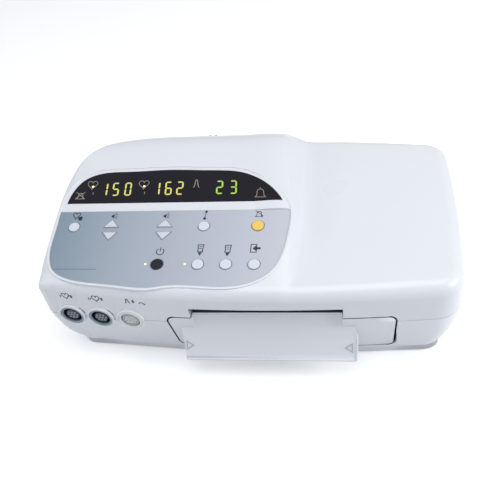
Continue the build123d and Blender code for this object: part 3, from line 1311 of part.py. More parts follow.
def make_rear():
    """Connector plate with mains inlet, fuse, bonding post, data ports and the cable hook."""
    plate = rear_window(-TRAY_GAP, REAR_PLATE_Y, REAR_PLATE_Y + REAR_PLATE_T)
    outside = REAR_PLATE_Y + REAR_PLATE_T
    inlet_hole = front_prism(Pos(INLET_X, INLET_Z) * Rectangle(INLET_WIDTH, INLET_HEIGHT),
                             REAR_PLATE_Y - CUT_SKIN, outside + CUT_SKIN)
    plate -= inlet_hole
    width = REAR_RIGHT_X - REAR_LEFT_X
    port_xs = [REAR_LEFT_X + width * share for share in PORT_XS_SHARES]
    for x in port_xs:
        hole = Rectangle(PORT_SHELL_WIDTH + 2 * PORT_HOLE_PLAY, PORT_SHELL_HEIGHT + 2 * PORT_HOLE_PLAY)
        plate -= front_prism(Pos(x, INLET_Z) * hole, REAR_PLATE_Y - CUT_SKIN, outside + CUT_SKIN)
    round_holes = ((FUSE_X, FUSE_NECK_R), (BOND_X, BOND_STUD_R))
    for x, radius in round_holes:
        hole = Pos(x, INLET_Z) * Circle(radius + POCKET_PLAY)
        plate -= front_prism(hole, REAR_PLATE_Y - CUT_SKIN, outside + CUT_SKIN)
    parts["rear_panel"] = plate

    def along_y(sketch, x, y0, y1):
        return front_prism(Pos(x, INLET_Z) * sketch, y0, y1)

    well = Rectangle(INLET_WELL_WIDTH, INLET_WELL_HEIGHT)
    upper = well.vertices().group_by(Axis.Y)[-1]
    well = chamfer(upper, INLET_WELL_CHAMFER)
    play = POCKET_PLAY
    face_y = outside + INLET_BEZEL_T
    inlet_bezel = RectangleRounded(
        INLET_WIDTH + 2 * INLET_BEZEL, INLET_HEIGHT + 2 * INLET_BEZEL, INLET_BEZEL
    )
    inlet = along_y(inlet_bezel, INLET_X, outside, face_y)
    inlet += along_y(Rectangle(INLET_WIDTH - 2 * play, INLET_HEIGHT - 2 * play), INLET_X,
                     face_y - INLET_DEPTH, outside)
    inlet -= along_y(well, INLET_X, face_y - INLET_WELL_DEPTH, face_y + CUT_SKIN)
    floor_y = face_y - INLET_WELL_DEPTH
    parts["mains_inlet"] = inlet
    blades = []
    for index, drop in ((-1, 0), (0, 1), (1, 0)):
        x = INLET_X + index * BLADE_PITCH
        z = INLET_Z + BLADE_DROP - drop * BLADE_DROP * 2
        blades.append(span_box(x - BLADE_T / 2, x + BLADE_T / 2, floor_y, floor_y + BLADE_LENGTH,
                               z - BLADE_WIDTH / 2, z + BLADE_WIDTH / 2))
    parts["inlet_blades"] = group(blades)

    fuse = along_y(Circle(FUSE_RADIUS), FUSE_X, outside, outside + FUSE_CAP_H)
    fuse = fillet(fuse.faces().sort_by(Axis.Y)[-1].edges(), EDGE_BREAK)
    fuse += along_y(Circle(FUSE_NECK_R), FUSE_X, outside - INLET_DEPTH, outside)
    coin_slot = Rectangle(FUSE_RADIUS, FUSE_SLOT)
    fuse -= along_y(coin_slot, FUSE_X, outside + FUSE_CAP_H - FUSE_SLOT, outside + FUSE_CAP_H * 2)
    parts["fuse_holder"] = fuse

    post = along_y(RegularPolygon(BOND_NUT_R, 6), BOND_X, outside, outside + BOND_NUT_H)
    post += along_y(Circle(BOND_STUD_R), BOND_X, outside - BOND_NUT_H, outside + BOND_STUD_L)
    tip = post.faces().sort_by(Axis.Y)[-1].edges()
    parts["bonding_post"] = chamfer(tip, EDGE_BREAK)

    ports = []
    screws = []
    for x in port_xs:
        plate_face = RectangleRounded(PORT_WIDTH, PORT_HEIGHT, EDGE_BREAK)
        port = along_y(plate_face, x, outside, outside + PORT_FLANGE_T)
        half_w, half_h = PORT_SHELL_WIDTH / 2, PORT_SHELL_HEIGHT / 2
        shell = make_face(Polyline(
            (-half_w, half_h), (half_w, half_h), (half_w - PORT_SHELL_SLANT, -half_h),
            (-half_w + PORT_SHELL_SLANT, -half_h), close=True,
        ))
        shell = fillet(shell.vertices(), EDGE_BREAK)
        port += along_y(shell, x, outside - PORT_BODY_DEPTH, outside + PORT_SHELL_H)
        for side in (-1, 1):
            bore = Pos(side * PORT_SCREW_PITCH / 2, 0) * Circle(PORT_SCREW_BORE_R)
            port -= along_y(bore, x, outside - CUT_SKIN, outside + PORT_FLANGE_T + CUT_SKIN)
            nut = Pos(side * PORT_SCREW_PITCH / 2, 0) * RegularPolygon(PORT_SCREW_R, 6)
            screws.append(along_y(nut, x, outside + PORT_FLANGE_T, outside + PORT_FLANGE_T + PORT_SCREW_H))
        ports.append(port)
    parts["data_ports"] = group(ports)
    parts["port_standoffs"] = group(screws)

    wall_y = REAR_Y - bow_drop(REAR_BOW, abs(HOOK_X) - HOOK_PLATE_WIDTH / 2) + TRAY_GAP
    hook = span_box(
        HOOK_X - HOOK_PLATE_WIDTH / 2, HOOK_X + HOOK_PLATE_WIDTH / 2, wall_y, wall_y + HOOK_PLATE_T,
        HOOK_PLATE_BOTTOM_Z, HOOK_PLATE_TOP_Z,
    )
    middle = (HOOK_PLATE_BOTTOM_Z + HOOK_PLATE_TOP_Z) / 2
    for side in (-1, 1):
        x = HOOK_X + side * HOOK_PITCH / 2
        hook += span_box(
            x - HOOK_PIN_R, x + HOOK_PIN_R, wall_y, HOOK_PIN_Y + HOOK_PIN_R, middle, middle + HOOK_ARM_T
        )
        pin = disc(HOOK_PIN_R, x, HOOK_PIN_Y, middle, HOOK_TIP_Z)
        hook += fillet(pin.faces().sort_by(Axis.Z)[-1].edges(), HOOK_PIN_R / 2)
    parts["cable_hook"] = hook


# Feet and screws

def make_fasteners():
    """Rubber feet and case screws."""
    feet = []
    for x in (-FOOT_X, FOOT_X):
        for y in (FOOT_FRONT_Y, FOOT_REAR_Y):
            foot = disc(FOOT_RADIUS, x, y, 0, FOOT_HEIGHT)
            feet.append(chamfer(foot.faces().sort_by(Axis.Z)[0].edges(), FOOT_CHAMFER))
    parts["rubber_feet"] = group(feet)

    screws = []
    seat = POST_SPLIT_Z - SCREW_SEAT
    for x, y in SCREW_PLACES:
        screw = disc(SCREW_HEAD_R, x, y, seat - SCREW_HEAD_H, seat)
        screw += disc(SCREW_RADIUS, x, y, seat, POST_SPLIT_Z + SCREW_LENGTH - CUT_SKIN)
        cross = Rectangle(SCREW_HEAD_R, SCREW_RADIUS / 2) + Rectangle(SCREW_RADIUS / 2, SCREW_HEAD_R)
        drive = Pos(x, y, seat - SCREW_HEAD_H) * raised(cross, SCREW_HEAD_H / 2)
        screws.append(screw - drive)
    parts["case_screws"] = group(screws)


def main():
    """Build every piece and write each to its own file."""
    make_casings()
    make_panel()
    make_sockets()
    make_drawer()
    make_rails()
    make_recorder()
    make_electronics()
    make_rear()
    make_fasteners()

    boxes = [shape.bounding_box() for shape in parts.values()]
    middle_x = (min(box.min.X for box in boxes) + max(box.max.X for box in boxes)) / 2
    middle_y = (min(box.min.Y for box in boxes) + max(box.max.Y for box in boxes)) / 2
    os.makedirs("parts", exist_ok=True)
    for name, shape in parts.items():
        export_step(Pos(-middle_x, -middle_y, 0) * shape, os.path.join("parts", name + ".step"))
    print("moved by", round(-middle_x, 4), round(-middle_y, 4), "nodes", len(parts))


main()
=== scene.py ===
import json
from math import cos, pi, radians, sin, tan

import bmesh
import bpy
from mathutils import Matrix, Vector
from mathutils.bvhtree import BVHTree


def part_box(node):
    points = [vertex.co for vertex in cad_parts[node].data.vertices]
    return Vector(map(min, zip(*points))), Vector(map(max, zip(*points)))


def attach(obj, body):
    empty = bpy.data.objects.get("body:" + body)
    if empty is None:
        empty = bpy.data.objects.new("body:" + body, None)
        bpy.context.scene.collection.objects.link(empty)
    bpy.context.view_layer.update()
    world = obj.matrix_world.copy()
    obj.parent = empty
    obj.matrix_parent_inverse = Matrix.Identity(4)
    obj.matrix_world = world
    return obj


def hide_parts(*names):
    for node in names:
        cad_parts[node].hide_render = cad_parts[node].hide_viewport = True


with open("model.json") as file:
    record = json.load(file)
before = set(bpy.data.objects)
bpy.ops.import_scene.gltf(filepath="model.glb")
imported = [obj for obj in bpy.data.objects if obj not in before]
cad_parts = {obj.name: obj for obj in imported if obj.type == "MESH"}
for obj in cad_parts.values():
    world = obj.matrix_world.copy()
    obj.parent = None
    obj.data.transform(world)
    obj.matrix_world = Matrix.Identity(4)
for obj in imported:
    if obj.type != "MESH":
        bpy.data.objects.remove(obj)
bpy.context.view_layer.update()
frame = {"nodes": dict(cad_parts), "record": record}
nodes = frame["nodes"]

MM = 0.001

# Added before a remainder is taken, so that the count starts well off the sheet
OFF_SHEET = 500

# The sloping panel: its front edge and its tilt
PANEL_TILT = radians(10)
PANEL_FRONT_Y = -124.0
PANEL_FRONT_Z = 121.0
PAD_RISE = 0.3

# Where the middle of the four feet lies in the drawing
FEET_CENTRE_Y = 9.0

# Where the film begins and ends, from side to side
FILM_LEFT = -215.0
FILM_RIGHT = 46.6

# Printed and lit signs
INK_RISE = 0.05
SIGN_RISE = 0.08
LINE = 0.95
FINE_LINE = 0.75
WALL_LINE = 1.15
HEART_STEPS = 32
HEART_CURVE_HEIGHT, HEART_CURVE_DROP, HEART_CURVE_PLUMP = 29, 2.5, 0.86

# Figures in the window
FIGURE_HEIGHT = 17.9
FIGURE_WIDTH = 6.3
FIGURE_FOOT = 133.8
WINDOW_LEAN = -tan(radians(5))
SEGMENT_WIDTH = 1.8
SEGMENT_GAP = 0.35
SEGMENT_RISE = 0.1
SEGMENT_CLEAR = 0.01
SEGMENTS = {"0": "abcdef", "1": "bc", "2": "abged", "3": "abgcd", "5": "afgcd", "6": "afgedc"}
LIT_BODY = (0.02, 0.02, 0.02, 1)

# Probe sockets: three on the seam, with ten contacts each
SEAM_Z = 77.0
FRONT_REACH = 122.5
FRONT_BOW = 1800.0
SOCKETS = {"heart_socket_1": -189.8, "heart_socket_2": -156.3, "uterine_socket": -122.2}
# Painted shadow in each shell's bore: the depths over which it darkens, and its radius
WELL_FRONT, WELL_BACK, WELL_RADIUS = -0.9, 1.6, 10.9
INSERT_FRONT = 0.5
INSERT_BACK = -9.0
INSERT_SIDES = 48
BEVEL_DEPTH, BEVEL_WIDTH = 0.5, 0.4
HEART_INSERT_RADIUS = 7.3
UTERINE_INSERT_RADIUS = 9.7
CONTACT_PITCH = 3.6
CONTACT_RADIUS = 1.0
CREAM_CONTACT_RADIUS = 1.5
CONTACT_STEP = 0.5
CONTACT_SUNK = 1.0
# Radius of the painted shadow arc where each heart socket's collar meets the wall
COLLAR_SHADOW_RADIUS = 16.4
HAND_SLIM = 0.55

# Data ports at the back
PORTS = (-68.8, -25.28, 18.24)
PORT_Z = 38.0
PIN_PITCH = 2.77
PIN_ROW = 2.84
PIN_RADIUS = 0.5
PIN_SIDES = 12
PIN_REACH = 0.5
PIN_SUNK = 0.3

# The drawer front: a rounded rectangle with a gap round it, and the paper slot over it, whose painted shadow
# runs down the ramp to a foot that rises to the right
DOOR_LEFT, DOOR_RIGHT = -80.0, 155.0
DOOR_BOTTOM, DOOR_TOP = 18.0, 84.0
DOOR_CORNER = 7.0
DOOR_GAP = 1.0
END_SHADE = 0.7
TONGUE_LEFT, TONGUE_RIGHT = -54.0, 102.0
SLOT_SHADOW_FOOT = 83.6
SLOT_SHADOW_RISE = 0.019
SLOT_TOP = 99.0

# Painted shadow: its overlap, its reach beside slot and tongue, its band at the seam and its strength
SHADE_BACK_Y = -90.0
SHADE_OVERLAP = 0.1
SLOT_MARGIN, TONGUE_MARGIN = 0.2, 0.9
SEAM_BELOW, SEAM_ABOVE = 0.5, 0.3
SEAM_SHADE = 0.4

# The flap under the ramp: from the knee down to the lip
KNEE_Y, KNEE_Z = -119.0, 61.0
LIP_Z = 29.0
RAMP_CENTRE_Y, RAMP_CENTRE_Z, RAMP_RADIUS = -230.7, 99.83, 118.26
FLAP_LEFT, FLAP_RIGHT = -69.0, 115.0
SHOULDER_Y, SHOULDER_Z = -116.3, 70.0
DOOR_LEAN = 0.2767
DOOR_BOW = 3600.0

# How far the flap's right end is drawn out, set back and raised
FLAP_WIDER, FLAP_LIP_WIDER, FLAP_WIDER_POWER = 1, 5, 8
FLAP_BACK = 2.5
FLAP_RISE, FLAP_RIGHT_RISE = 1, 1.5

# How near the knee, and how clear of the tongue and door, a point of the drawer front has to be
KNEE_NEAR_Y, KNEE_NEAR_Z = 0.6, 0.3
TONGUE_CLEAR, DOOR_CLEAR = 1, 0.3

# The bead along the flap's lip and up its right end
BEAD_RADIUS = 1.2
BEAD_PROUD = 0.4
BEAD_FOOT = LIP_Z + 0.9
BEAD_START, BEAD_MIDDLE, BEAD_TURN = FLAP_LEFT + 4.4, 20, FLAP_RIGHT - 7
BEAD_TURN_WIDTH, BEAD_TURN_HEIGHT = 3.6, 3.4
BEAD_END = ((FLAP_RIGHT - 2.6, 42), (FLAP_RIGHT - 1.4, 52), (FLAP_RIGHT - 0.6, 59.5))

# The two triangles on the flap
MARK_PLACES = ((108.6, 1), (-61.0, -1))
MARK_BACK, MARK_FRONT = 3.6, 3.4
MARK_HEIGHTS = (44.4, 48.6, 40.4)
MARK_WIDTH, MARK_RISE = 1.1, 0.45

# In a redrawn piece: the least move that counts, and the turn that makes an edge sharp
MOVED = 0.5 * MM
SHARP_ANGLE = radians(28)

# How far the base's ends are drawn out, and where that begins
BASE_REACH = 16.0
BASE_TOP = 62.0
BASE_POWER = 1.3
END_BAND = (174.0, 200.0)
CORNER_BAND = (178.0, 202.0)
CORNER_SLOPE = 0.7

# The front left corner: the centre of its packed round, which shifts below the seam, how square it
# becomes, and the distances from that centre and the heights over which the change comes in
ROUND_X, ROUND_Y = -196.0, -88.0
ROUND_SHIFT_X, ROUND_SHIFT_Y = 0.0057, 0.225
ROUND_POWER = 8
ROUND_BAND = (14.0, 21.0)
ROUND_RISE = (-14.0, 46.0)

# How far the dome's rear left corner is drawn in, and where that begins
DOME_REACH = 13.0
DOME_BAND = (158.0, 208.0)
DOME_TOP = 140.0

# Keys, and the painted shadow line round each key: how far out it lies and how wide it is
SMALL_KEY, LARGE_KEY = 6.0, 6.4
ARROW_HALF_WIDTH, ARROW_HALF_HEIGHT = 8.0, 4.8
KEY_SHADOW_GAP = 0.55
KEY_SHADOW_WIDTH = 0.6

# The camera, as the photograph was taken
CAMERA_PLACE = (112.7, -522.9, 585.0)
CAMERA_PITCH = radians(44.2)
CAMERA_YAW = radians(13.0)
CAMERA_ROLL = radians(-9.3)
PICTURE_WIDTH = 500
FOCAL_PIXELS = 630.0
SENSOR_WIDTH = 36.0
CLIP_END = 20

# The studio: its sky, its floor, and each lamp's place, target, width, height and power
SKY_COLOUR, SKY_STRENGTH = (0.88, 0.93, 1.0, 1), 0.45
FLOOR_REACH = 3.0
LAMPS = (
    ("right_box", (1.25, -0.3, 0.75), (0.05, 0, 0.1), 0.5, 0.5, 7.5),
    ("left_box", (-1.3, -0.45, 0.8), (0, 0, 0.1), 0.7, 0.7, 2.5),
    ("top_box", (0.1, -0.1, 1.6), (0, 0, 0.1), 1.5, 1.0, 9.7),
)


# How far, in millimetres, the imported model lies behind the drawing's own origin
feet_low, feet_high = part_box("rubber_feet")
SHIFT = (feet_low.y + feet_high.y) / 2 / MM - FEET_CENTRE_Y


def linked(name, data):
    """A new object in the scene that shows this mesh, curve, lamp or camera."""
    made = bpy.data.objects.new(name, data)
    bpy.context.scene.collection.objects.link(made)
    return made


def built(name, build):
    """The mesh that a bmesh ends as."""
    mesh = bpy.data.meshes.new(name)
    build.to_mesh(mesh)
    build.free()
    return mesh


def grown(name, source):
    """The mesh that a curve or a modifier makes; its own object is then removed."""
    bpy.context.view_layer.update()
    evaluated = source.evaluated_get(bpy.context.evaluated_depsgraph_get())
    mesh = bpy.data.meshes.new_from_object(evaluated)
    mesh.name = name
    bpy.data.objects.remove(source)
    return mesh


# Finishes

def tint(red, green, blue):
    """A colour as the eye names it, 0 to 255 a channel, in the renderer's linear values."""
    def linear(channel):
        share = channel / 255
        return share / 12.92 if share <= 0.04045 else ((share + 0.055) / 1.055) ** 2.4
    return linear(red), linear(green), linear(blue), 1.0


def operation(name):
    """A method that adds the maths node of this name."""
    def apply(wire, other=0.0):
        return wire.maths(name, wire, other)
    return apply


class Wire:
    """One output in a material, whose operators add the maths nodes they stand for."""

    def __init__(self, finish, socket):
        self.finish = finish
        self.socket = socket

    def maths(self, kind, first, second):
        return self.finish.node("ShaderNodeMath", {"operation": kind}, {0: first, 1: second})

    __add__ = __radd__ = operation("ADD")
    __sub__ = operation("SUBTRACT")
    __mul__ = operation("MULTIPLY")
    __truediv__ = operation("DIVIDE")
    __pow__ = operation("POWER")
    larger = operation("MAXIMUM")
    smaller = operation("MINIMUM")
    size = operation("ABSOLUTE")
    wave = operation("SINE")

    # 1 where the value is over, or under, a limit
    over = operation("GREATER_THAN")
    under = operation("LESS_THAN")

    # What is left over a whole number of pitches
    rest_of = operation("FLOORED_MODULO")

    def __rsub__(self, other):
        return self.maths("SUBTRACT", other, self)

    def between(self, low, high):
        """1 where the value lies between two limits."""
        return self.over(low) * self.under(high)

    def share(self, low, high):
        """Where the value lies between two limits, from 0 to 1."""
        inputs = {"Value": self, "From Min": low, "From Max": high}
        return self.finish.node("ShaderNodeMapRange", {"clamp": True}, inputs)


class Finish:
    """A material: its shader, and the one method that adds any other node to it."""

    def __init__(self, name, **sockets):
        self.material = bpy.data.materials.new(name)
        self.material.use_nodes = True
        self.tree = self.material.node_tree
        self.shader = self.tree.nodes["Principled BSDF"]
        self.place = self.node("ShaderNodeTexCoord", output="Object")
        self.set(**sockets)

    def node(self, kind, settings=None, inputs=None, output=0):
        made = self.tree.nodes.new(kind)
        for key, value in (settings or {}).items():
            if key == "stops":
                self.fill_ramp(made.color_ramp, value)
            else:
                setattr(made, key, value)
        for key, value in (inputs or {}).items():
            self.feed(made.inputs[key], value)
        return Wire(self, made.outputs[output])

    def fill_ramp(self, ramp, stops):
        while len(ramp.elements) < len(stops):
            ramp.elements.new(0.5)
        for element, (place, colour) in zip(ramp.elements, stops):
            element.position = place
            element.color = colour

    def feed(self, socket, value):
        if isinstance(value, Wire):
            self.tree.links.new(value.socket, socket)
        else:
            socket.default_value = value

    def set(self, **sockets):
        for name, value in sockets.items():
            self.feed(self.shader.inputs[name.replace("_", " ")], value)
        return self

    def axis(self, letter):
        """Distance along an axis, in millimetres of the drawing."""
        along = self.node("ShaderNodeSeparateXYZ", {}, {0: self.place}, output="XYZ".index(letter))
        return along / MM - (SHIFT if letter == "Y" else 0.0)

    def facing(self, letter):
        """How far the surface faces along an axis."""
        normal = self.node("ShaderNodeNewGeometry", output="Normal")
        return self.node("ShaderNodeSeparateXYZ", {}, {0: normal}, output="XYZ".index(letter))

    def noise(self, size, detail=3.0, rough=0.55, stretch=(1, 1, 1)):
        """Cloudy noise from 0 to 1, with patches about this many millimetres across."""
        scale = tuple(share / (size * MM) for share in stretch)
        placed = self.node("ShaderNodeMapping", {}, {"Vector": self.place, "Scale": scale})
        patches = {"Vector": placed, "Scale": 1.0, "Detail": detail, "Roughness": rough}
        return self.node("ShaderNodeTexNoise", {}, patches)

    def ridges(self, letter, pitch):
        """Even waves along an axis, so many millimetres from crest to crest."""
        return (self.axis(letter) * (2 * pi / pitch)).wave()

    def mixed(self, share, first, second):
        settings = {"data_type": "RGBA", "clamp_factor": True}
        return self.node("ShaderNodeMix", settings, {0: share, 6: first, 7: second}, output=2)

    def bumps(self, height, depth):
        """Raises the surface by height times depth millimetres."""
        inputs = {"Height": height, "Distance": depth * MM, "Strength": 1.0}
        return self.set(Normal=self.node("ShaderNodeBump", {}, inputs))


def moulded(name, colour, shade, roughness):
    """Moulded plastic: a fine spark-eroded grain, faint clouding and handling marks."""
    finish = Finish(name)
    clouds = finish.noise(60, detail=2.0)
    marks = finish.noise(9, detail=5.0, rough=0.7)
    finish.set(Base_Color=finish.mixed(clouds, colour, shade))
    finish.set(Roughness=roughness - 0.05 + marks * 0.1)
    return finish.bumps(finish.noise(0.5, detail=2.0), 0.004)


def gap_shadow(finish):
    """How much light is lost in the gap round the drawer front, in the paper slot and at the seam."""
    x, y, z = (finish.axis(letter) for letter in "XYZ")
    half_width = (DOOR_RIGHT - DOOR_LEFT) / 2 - DOOR_CORNER
    half_height = (DOOR_TOP - DOOR_BOTTOM) / 2 - DOOR_CORNER
    out_x = (x - (DOOR_LEFT + DOOR_RIGHT) / 2).size() - half_width
    out_z = (z - (DOOR_BOTTOM + DOOR_TOP) / 2).size() - half_height
    corner = (out_x.larger(0.0) ** 2.0 + out_z.larger(0.0) ** 2.0) ** 0.5
    beyond = corner + out_x.larger(out_z).smaller(0.0) - DOOR_CORNER
    front = y.under(SHADE_BACK_Y)
    tongue = x.between(TONGUE_LEFT - TONGUE_MARGIN, TONGUE_RIGHT + TONGUE_MARGIN)
    tongue = tongue * z.over(DOOR_TOP - DOOR_CORNER)
    ends = x.under(DOOR_LEFT + DOOR_CORNER).larger(x.over(DOOR_RIGHT - DOOR_CORNER))
    gap = beyond.between(-SHADE_OVERLAP, ends * END_SHADE + DOOR_GAP + SHADE_OVERLAP)
    gap = gap * (1 - tongue) * front
    # Painted shadow on the ramp under the paper slot, from its rising foot up to the slot's top
    foot = (x - TONGUE_LEFT) * SLOT_SHADOW_RISE + SLOT_SHADOW_FOOT
    slot = x.between(TONGUE_LEFT - SLOT_MARGIN, TONGUE_RIGHT + SLOT_MARGIN)
    slot = slot * z.between(foot, SLOT_TOP + SHADE_OVERLAP) * front
    seam = z.between(SEAM_Z - SEAM_BELOW, SEAM_Z + SEAM_ABOVE) * (1 - beyond.under(0.0) * front)
    return gap.larger(slot).larger(seam * SEAM_SHADE)


def housing_white():
    """Glossy white moulding, with the gaps between its pieces in shadow."""
    finish = Finish("housing_white", Coat_Roughness=0.12, Coat_IOR=1.45)
    clouds = finish.noise(160, detail=1.0)
    white = finish.mixed(clouds, tint(236, 237, 240), tint(232, 234, 239))
    dust = finish.noise(4, detail=4.0, rough=0.7).share(0.6, 0.8) * finish.axis("Z").share(26.0, 3.0)
    dusty = finish.mixed(dust * 0.35, white, tint(178, 176, 172))
    shadow = gap_shadow(finish)
    finish.set(Base_Color=finish.mixed(shadow, dusty, tint(12, 14, 20)))
    finish.set(Coat_Weight=0.25 - shadow * 0.25)
    marks = finish.noise(160, detail=1.0, stretch=(1, 1, 0.4))
    return finish.set(Roughness=0.26 + marks * 0.04 + dust * 0.2 + shadow * 0.6)


def key_film():
    """Printed film: blue-grey on the left, running to lilac grey, with a fine stipple."""
    finish = Finish("key_film", Specular_IOR_Level=0.35)
    across = finish.axis("X").share(FILM_LEFT, FILM_RIGHT)
    print_colour = finish.node("ShaderNodeValToRGB", {"stops": (
        (0.0, tint(136, 154, 168)), (0.3, tint(167, 177, 189)),
        (0.65, tint(189, 193, 205)), (1.0, tint(206, 208, 217)),
    )}, {0: across})
    cloud = finish.noise(25, detail=2.0)
    finish.set(Base_Color=finish.mixed(cloud * 0.08, print_colour, tint(150, 160, 176)))
    finish.set(Roughness=0.38 + finish.noise(6) * 0.12)
    return finish.bumps(finish.noise(0.22, detail=1.0), 0.003)


def smoke_window():
    """Smoked window: near black, with a faint plum cast where the filter lies behind it."""
    finish = Finish("smoke_window", Specular_IOR_Level=0.3)
    cast = finish.noise(45, detail=1.0)
    finish.set(Base_Color=finish.mixed(cast, tint(24, 22, 29), tint(34, 27, 38)))
    finish.set(Roughness=0.16 + finish.noise(12, detail=4.0) * 0.08)
    return finish.bumps(finish.noise(0.8), 0.0005)


def wall_place(x):
    """Place on the front wall at the height of the seam, and how far the wall turns there."""
    bow = FRONT_BOW - (FRONT_BOW ** 2 - x ** 2) ** 0.5
    return Vector((x, bow - FRONT_REACH + SHIFT, SEAM_Z)), x / FRONT_BOW


def shell_finish(name, x, ring, well, inner):
    """Socket shell: a bright ring whose bore falls into shadow."""
    finish = Finish(name, Specular_IOR_Level=0.4)
    depth = finish.axis("Y") - (wall_place(x)[0].y - SHIFT)
    across = finish.axis("X") - x
    height = finish.axis("Z") - SEAM_Z
    radius = (across * across + height * height) ** 0.5
    bore_shade = depth.share(WELL_FRONT, WELL_BACK) * radius.under(WELL_RADIUS)
    colour = finish.mixed(finish.noise(5), ring, inner)
    finish.set(Base_Color=finish.mixed(bore_shade, colour, well))
    finish.set(Roughness=0.28 + finish.noise(3) * 0.1)
    return finish.bumps(finish.noise(0.4), 0.003)


def chart_paper():
    """Thermal chart paper with its pale ruled grid, a line every ten millimetres."""
    finish = Finish("chart_paper", Specular_IOR_Level=0.2)

    def grid(pitch, line):
        across, along = ((finish.axis(letter) + OFF_SHEET).rest_of(pitch).under(line) for letter in "XY")
        return across.larger(along)

    coarse, fine = grid(10.0, 0.35), grid(5.0, 0.18)
    sheet = finish.mixed(finish.noise(30), tint(247, 243, 238), tint(243, 238, 231))
    ruled = finish.mixed(fine * 0.5, sheet, tint(240, 190, 170))
    finish.set(Base_Color=finish.mixed(coarse, ruled, tint(233, 150, 124)))
    finish.set(Roughness=0.7 + finish.noise(2) * 0.1)
    return finish.bumps(finish.ridges("Z", 0.4), 0.04)


def circuit_board():
    """Green lacquered board with paler copper tracks under the lacquer."""
    finish = Finish("circuit_board", Specular_IOR_Level=0.5)
    x, y = finish.axis("X"), finish.axis("Y")
    wander = finish.noise(22, detail=1.0)
    tracks = (x + wander * 26).rest_of(3.2).under(1.1)
    tracks = tracks * (y + wander * 14 + OFF_SHEET).rest_of(27.0).over(5.0)
    green = finish.mixed(finish.noise(30), tint(30, 92, 56), tint(24, 80, 50))
    finish.set(Base_Color=finish.mixed(tracks * 0.6, green, tint(66, 132, 84)))
    finish.set(Roughness=0.3 + finish.noise(4) * 0.15)
    return finish.bumps(tracks, 0.03)


def wound_coil():
    """Taped copper winding: close turns that lie side by side, painted lighter on each crest as a highlight
    and darker between turns as shade.
    """
    finish = Finish("wound_coil", Specular_IOR_Level=0.5)
    turns = finish.ridges("Z", 0.7)
    finish.set(Base_Color=finish.mixed(turns * 0.5 + 0.5, tint(150, 98, 40), tint(214, 156, 74)))
    finish.set(Roughness=0.35 + finish.noise(4) * 0.15)
    return finish.bumps(turns, 0.15)


def sheet_stack():
    """Stacked steel sheets, seen as fine lines, with a dull varnish."""
    finish = Finish("sheet_stack", Metallic=0.6)
    sheets = finish.ridges("Y", 0.9)
    finish.set(Base_Color=finish.mixed(sheets * 0.5 + 0.5, tint(88, 88, 94), tint(126, 126, 130)))
    finish.set(Roughness=0.45 + finish.noise(3) * 0.15)
    return finish.bumps(sheets, 0.08)


def plain_metal(name, colour, roughness, stretch=(1, 1, 1)):
    """Plated or brushed metal with fine drawn lines and a little tarnish."""
    finish = Finish(name, Metallic=1.0)
    drawn = finish.noise(1.2, detail=4.0, stretch=stretch)
    tarnish = finish.noise(18, detail=4.0)
    dull = tuple(channel * 0.72 for channel in colour[:3]) + (1.0,)
    finish.set(Base_Color=finish.mixed(tarnish.share(0.35, 0.9) * 0.6, colour, dull))
    finish.set(Roughness=roughness - 0.08 + drawn * 0.16)
    return finish.bumps(drawn, 0.004)


def glowing(name, colour, strength):
    """A lit sign that shines with its own colour, a little unevenly."""
    finish = Finish(name, Base_Color=LIT_BODY, Roughness=0.4, Emission_Strength=strength)
    shade = tuple(channel * 0.8 for channel in colour[:3]) + (1.0,)
    finish.set(Emission_Color=finish.mixed(finish.noise(4, detail=1.0), colour, shade))
    return finish


def lamp_lens():
    """Clear yellow-green lamp lens that glows, brightest at its crown, its colour lighter where it faces up
    as a painted highlight.
    """
    finish = Finish("lamp_lens", Roughness=0.15, Emission_Strength=0.75)
    # Where the lens faces up: its glow is brighter there, and its colour lighter, a painted highlight
    crown = finish.facing("Z").share(0.6, 1.0)
    finish.set(Base_Color=finish.mixed(crown, tint(120, 170, 70), tint(235, 245, 200)))
    finish.set(Emission_Color=finish.mixed(crown, tint(90, 150, 40), tint(250, 255, 225)))
    return finish


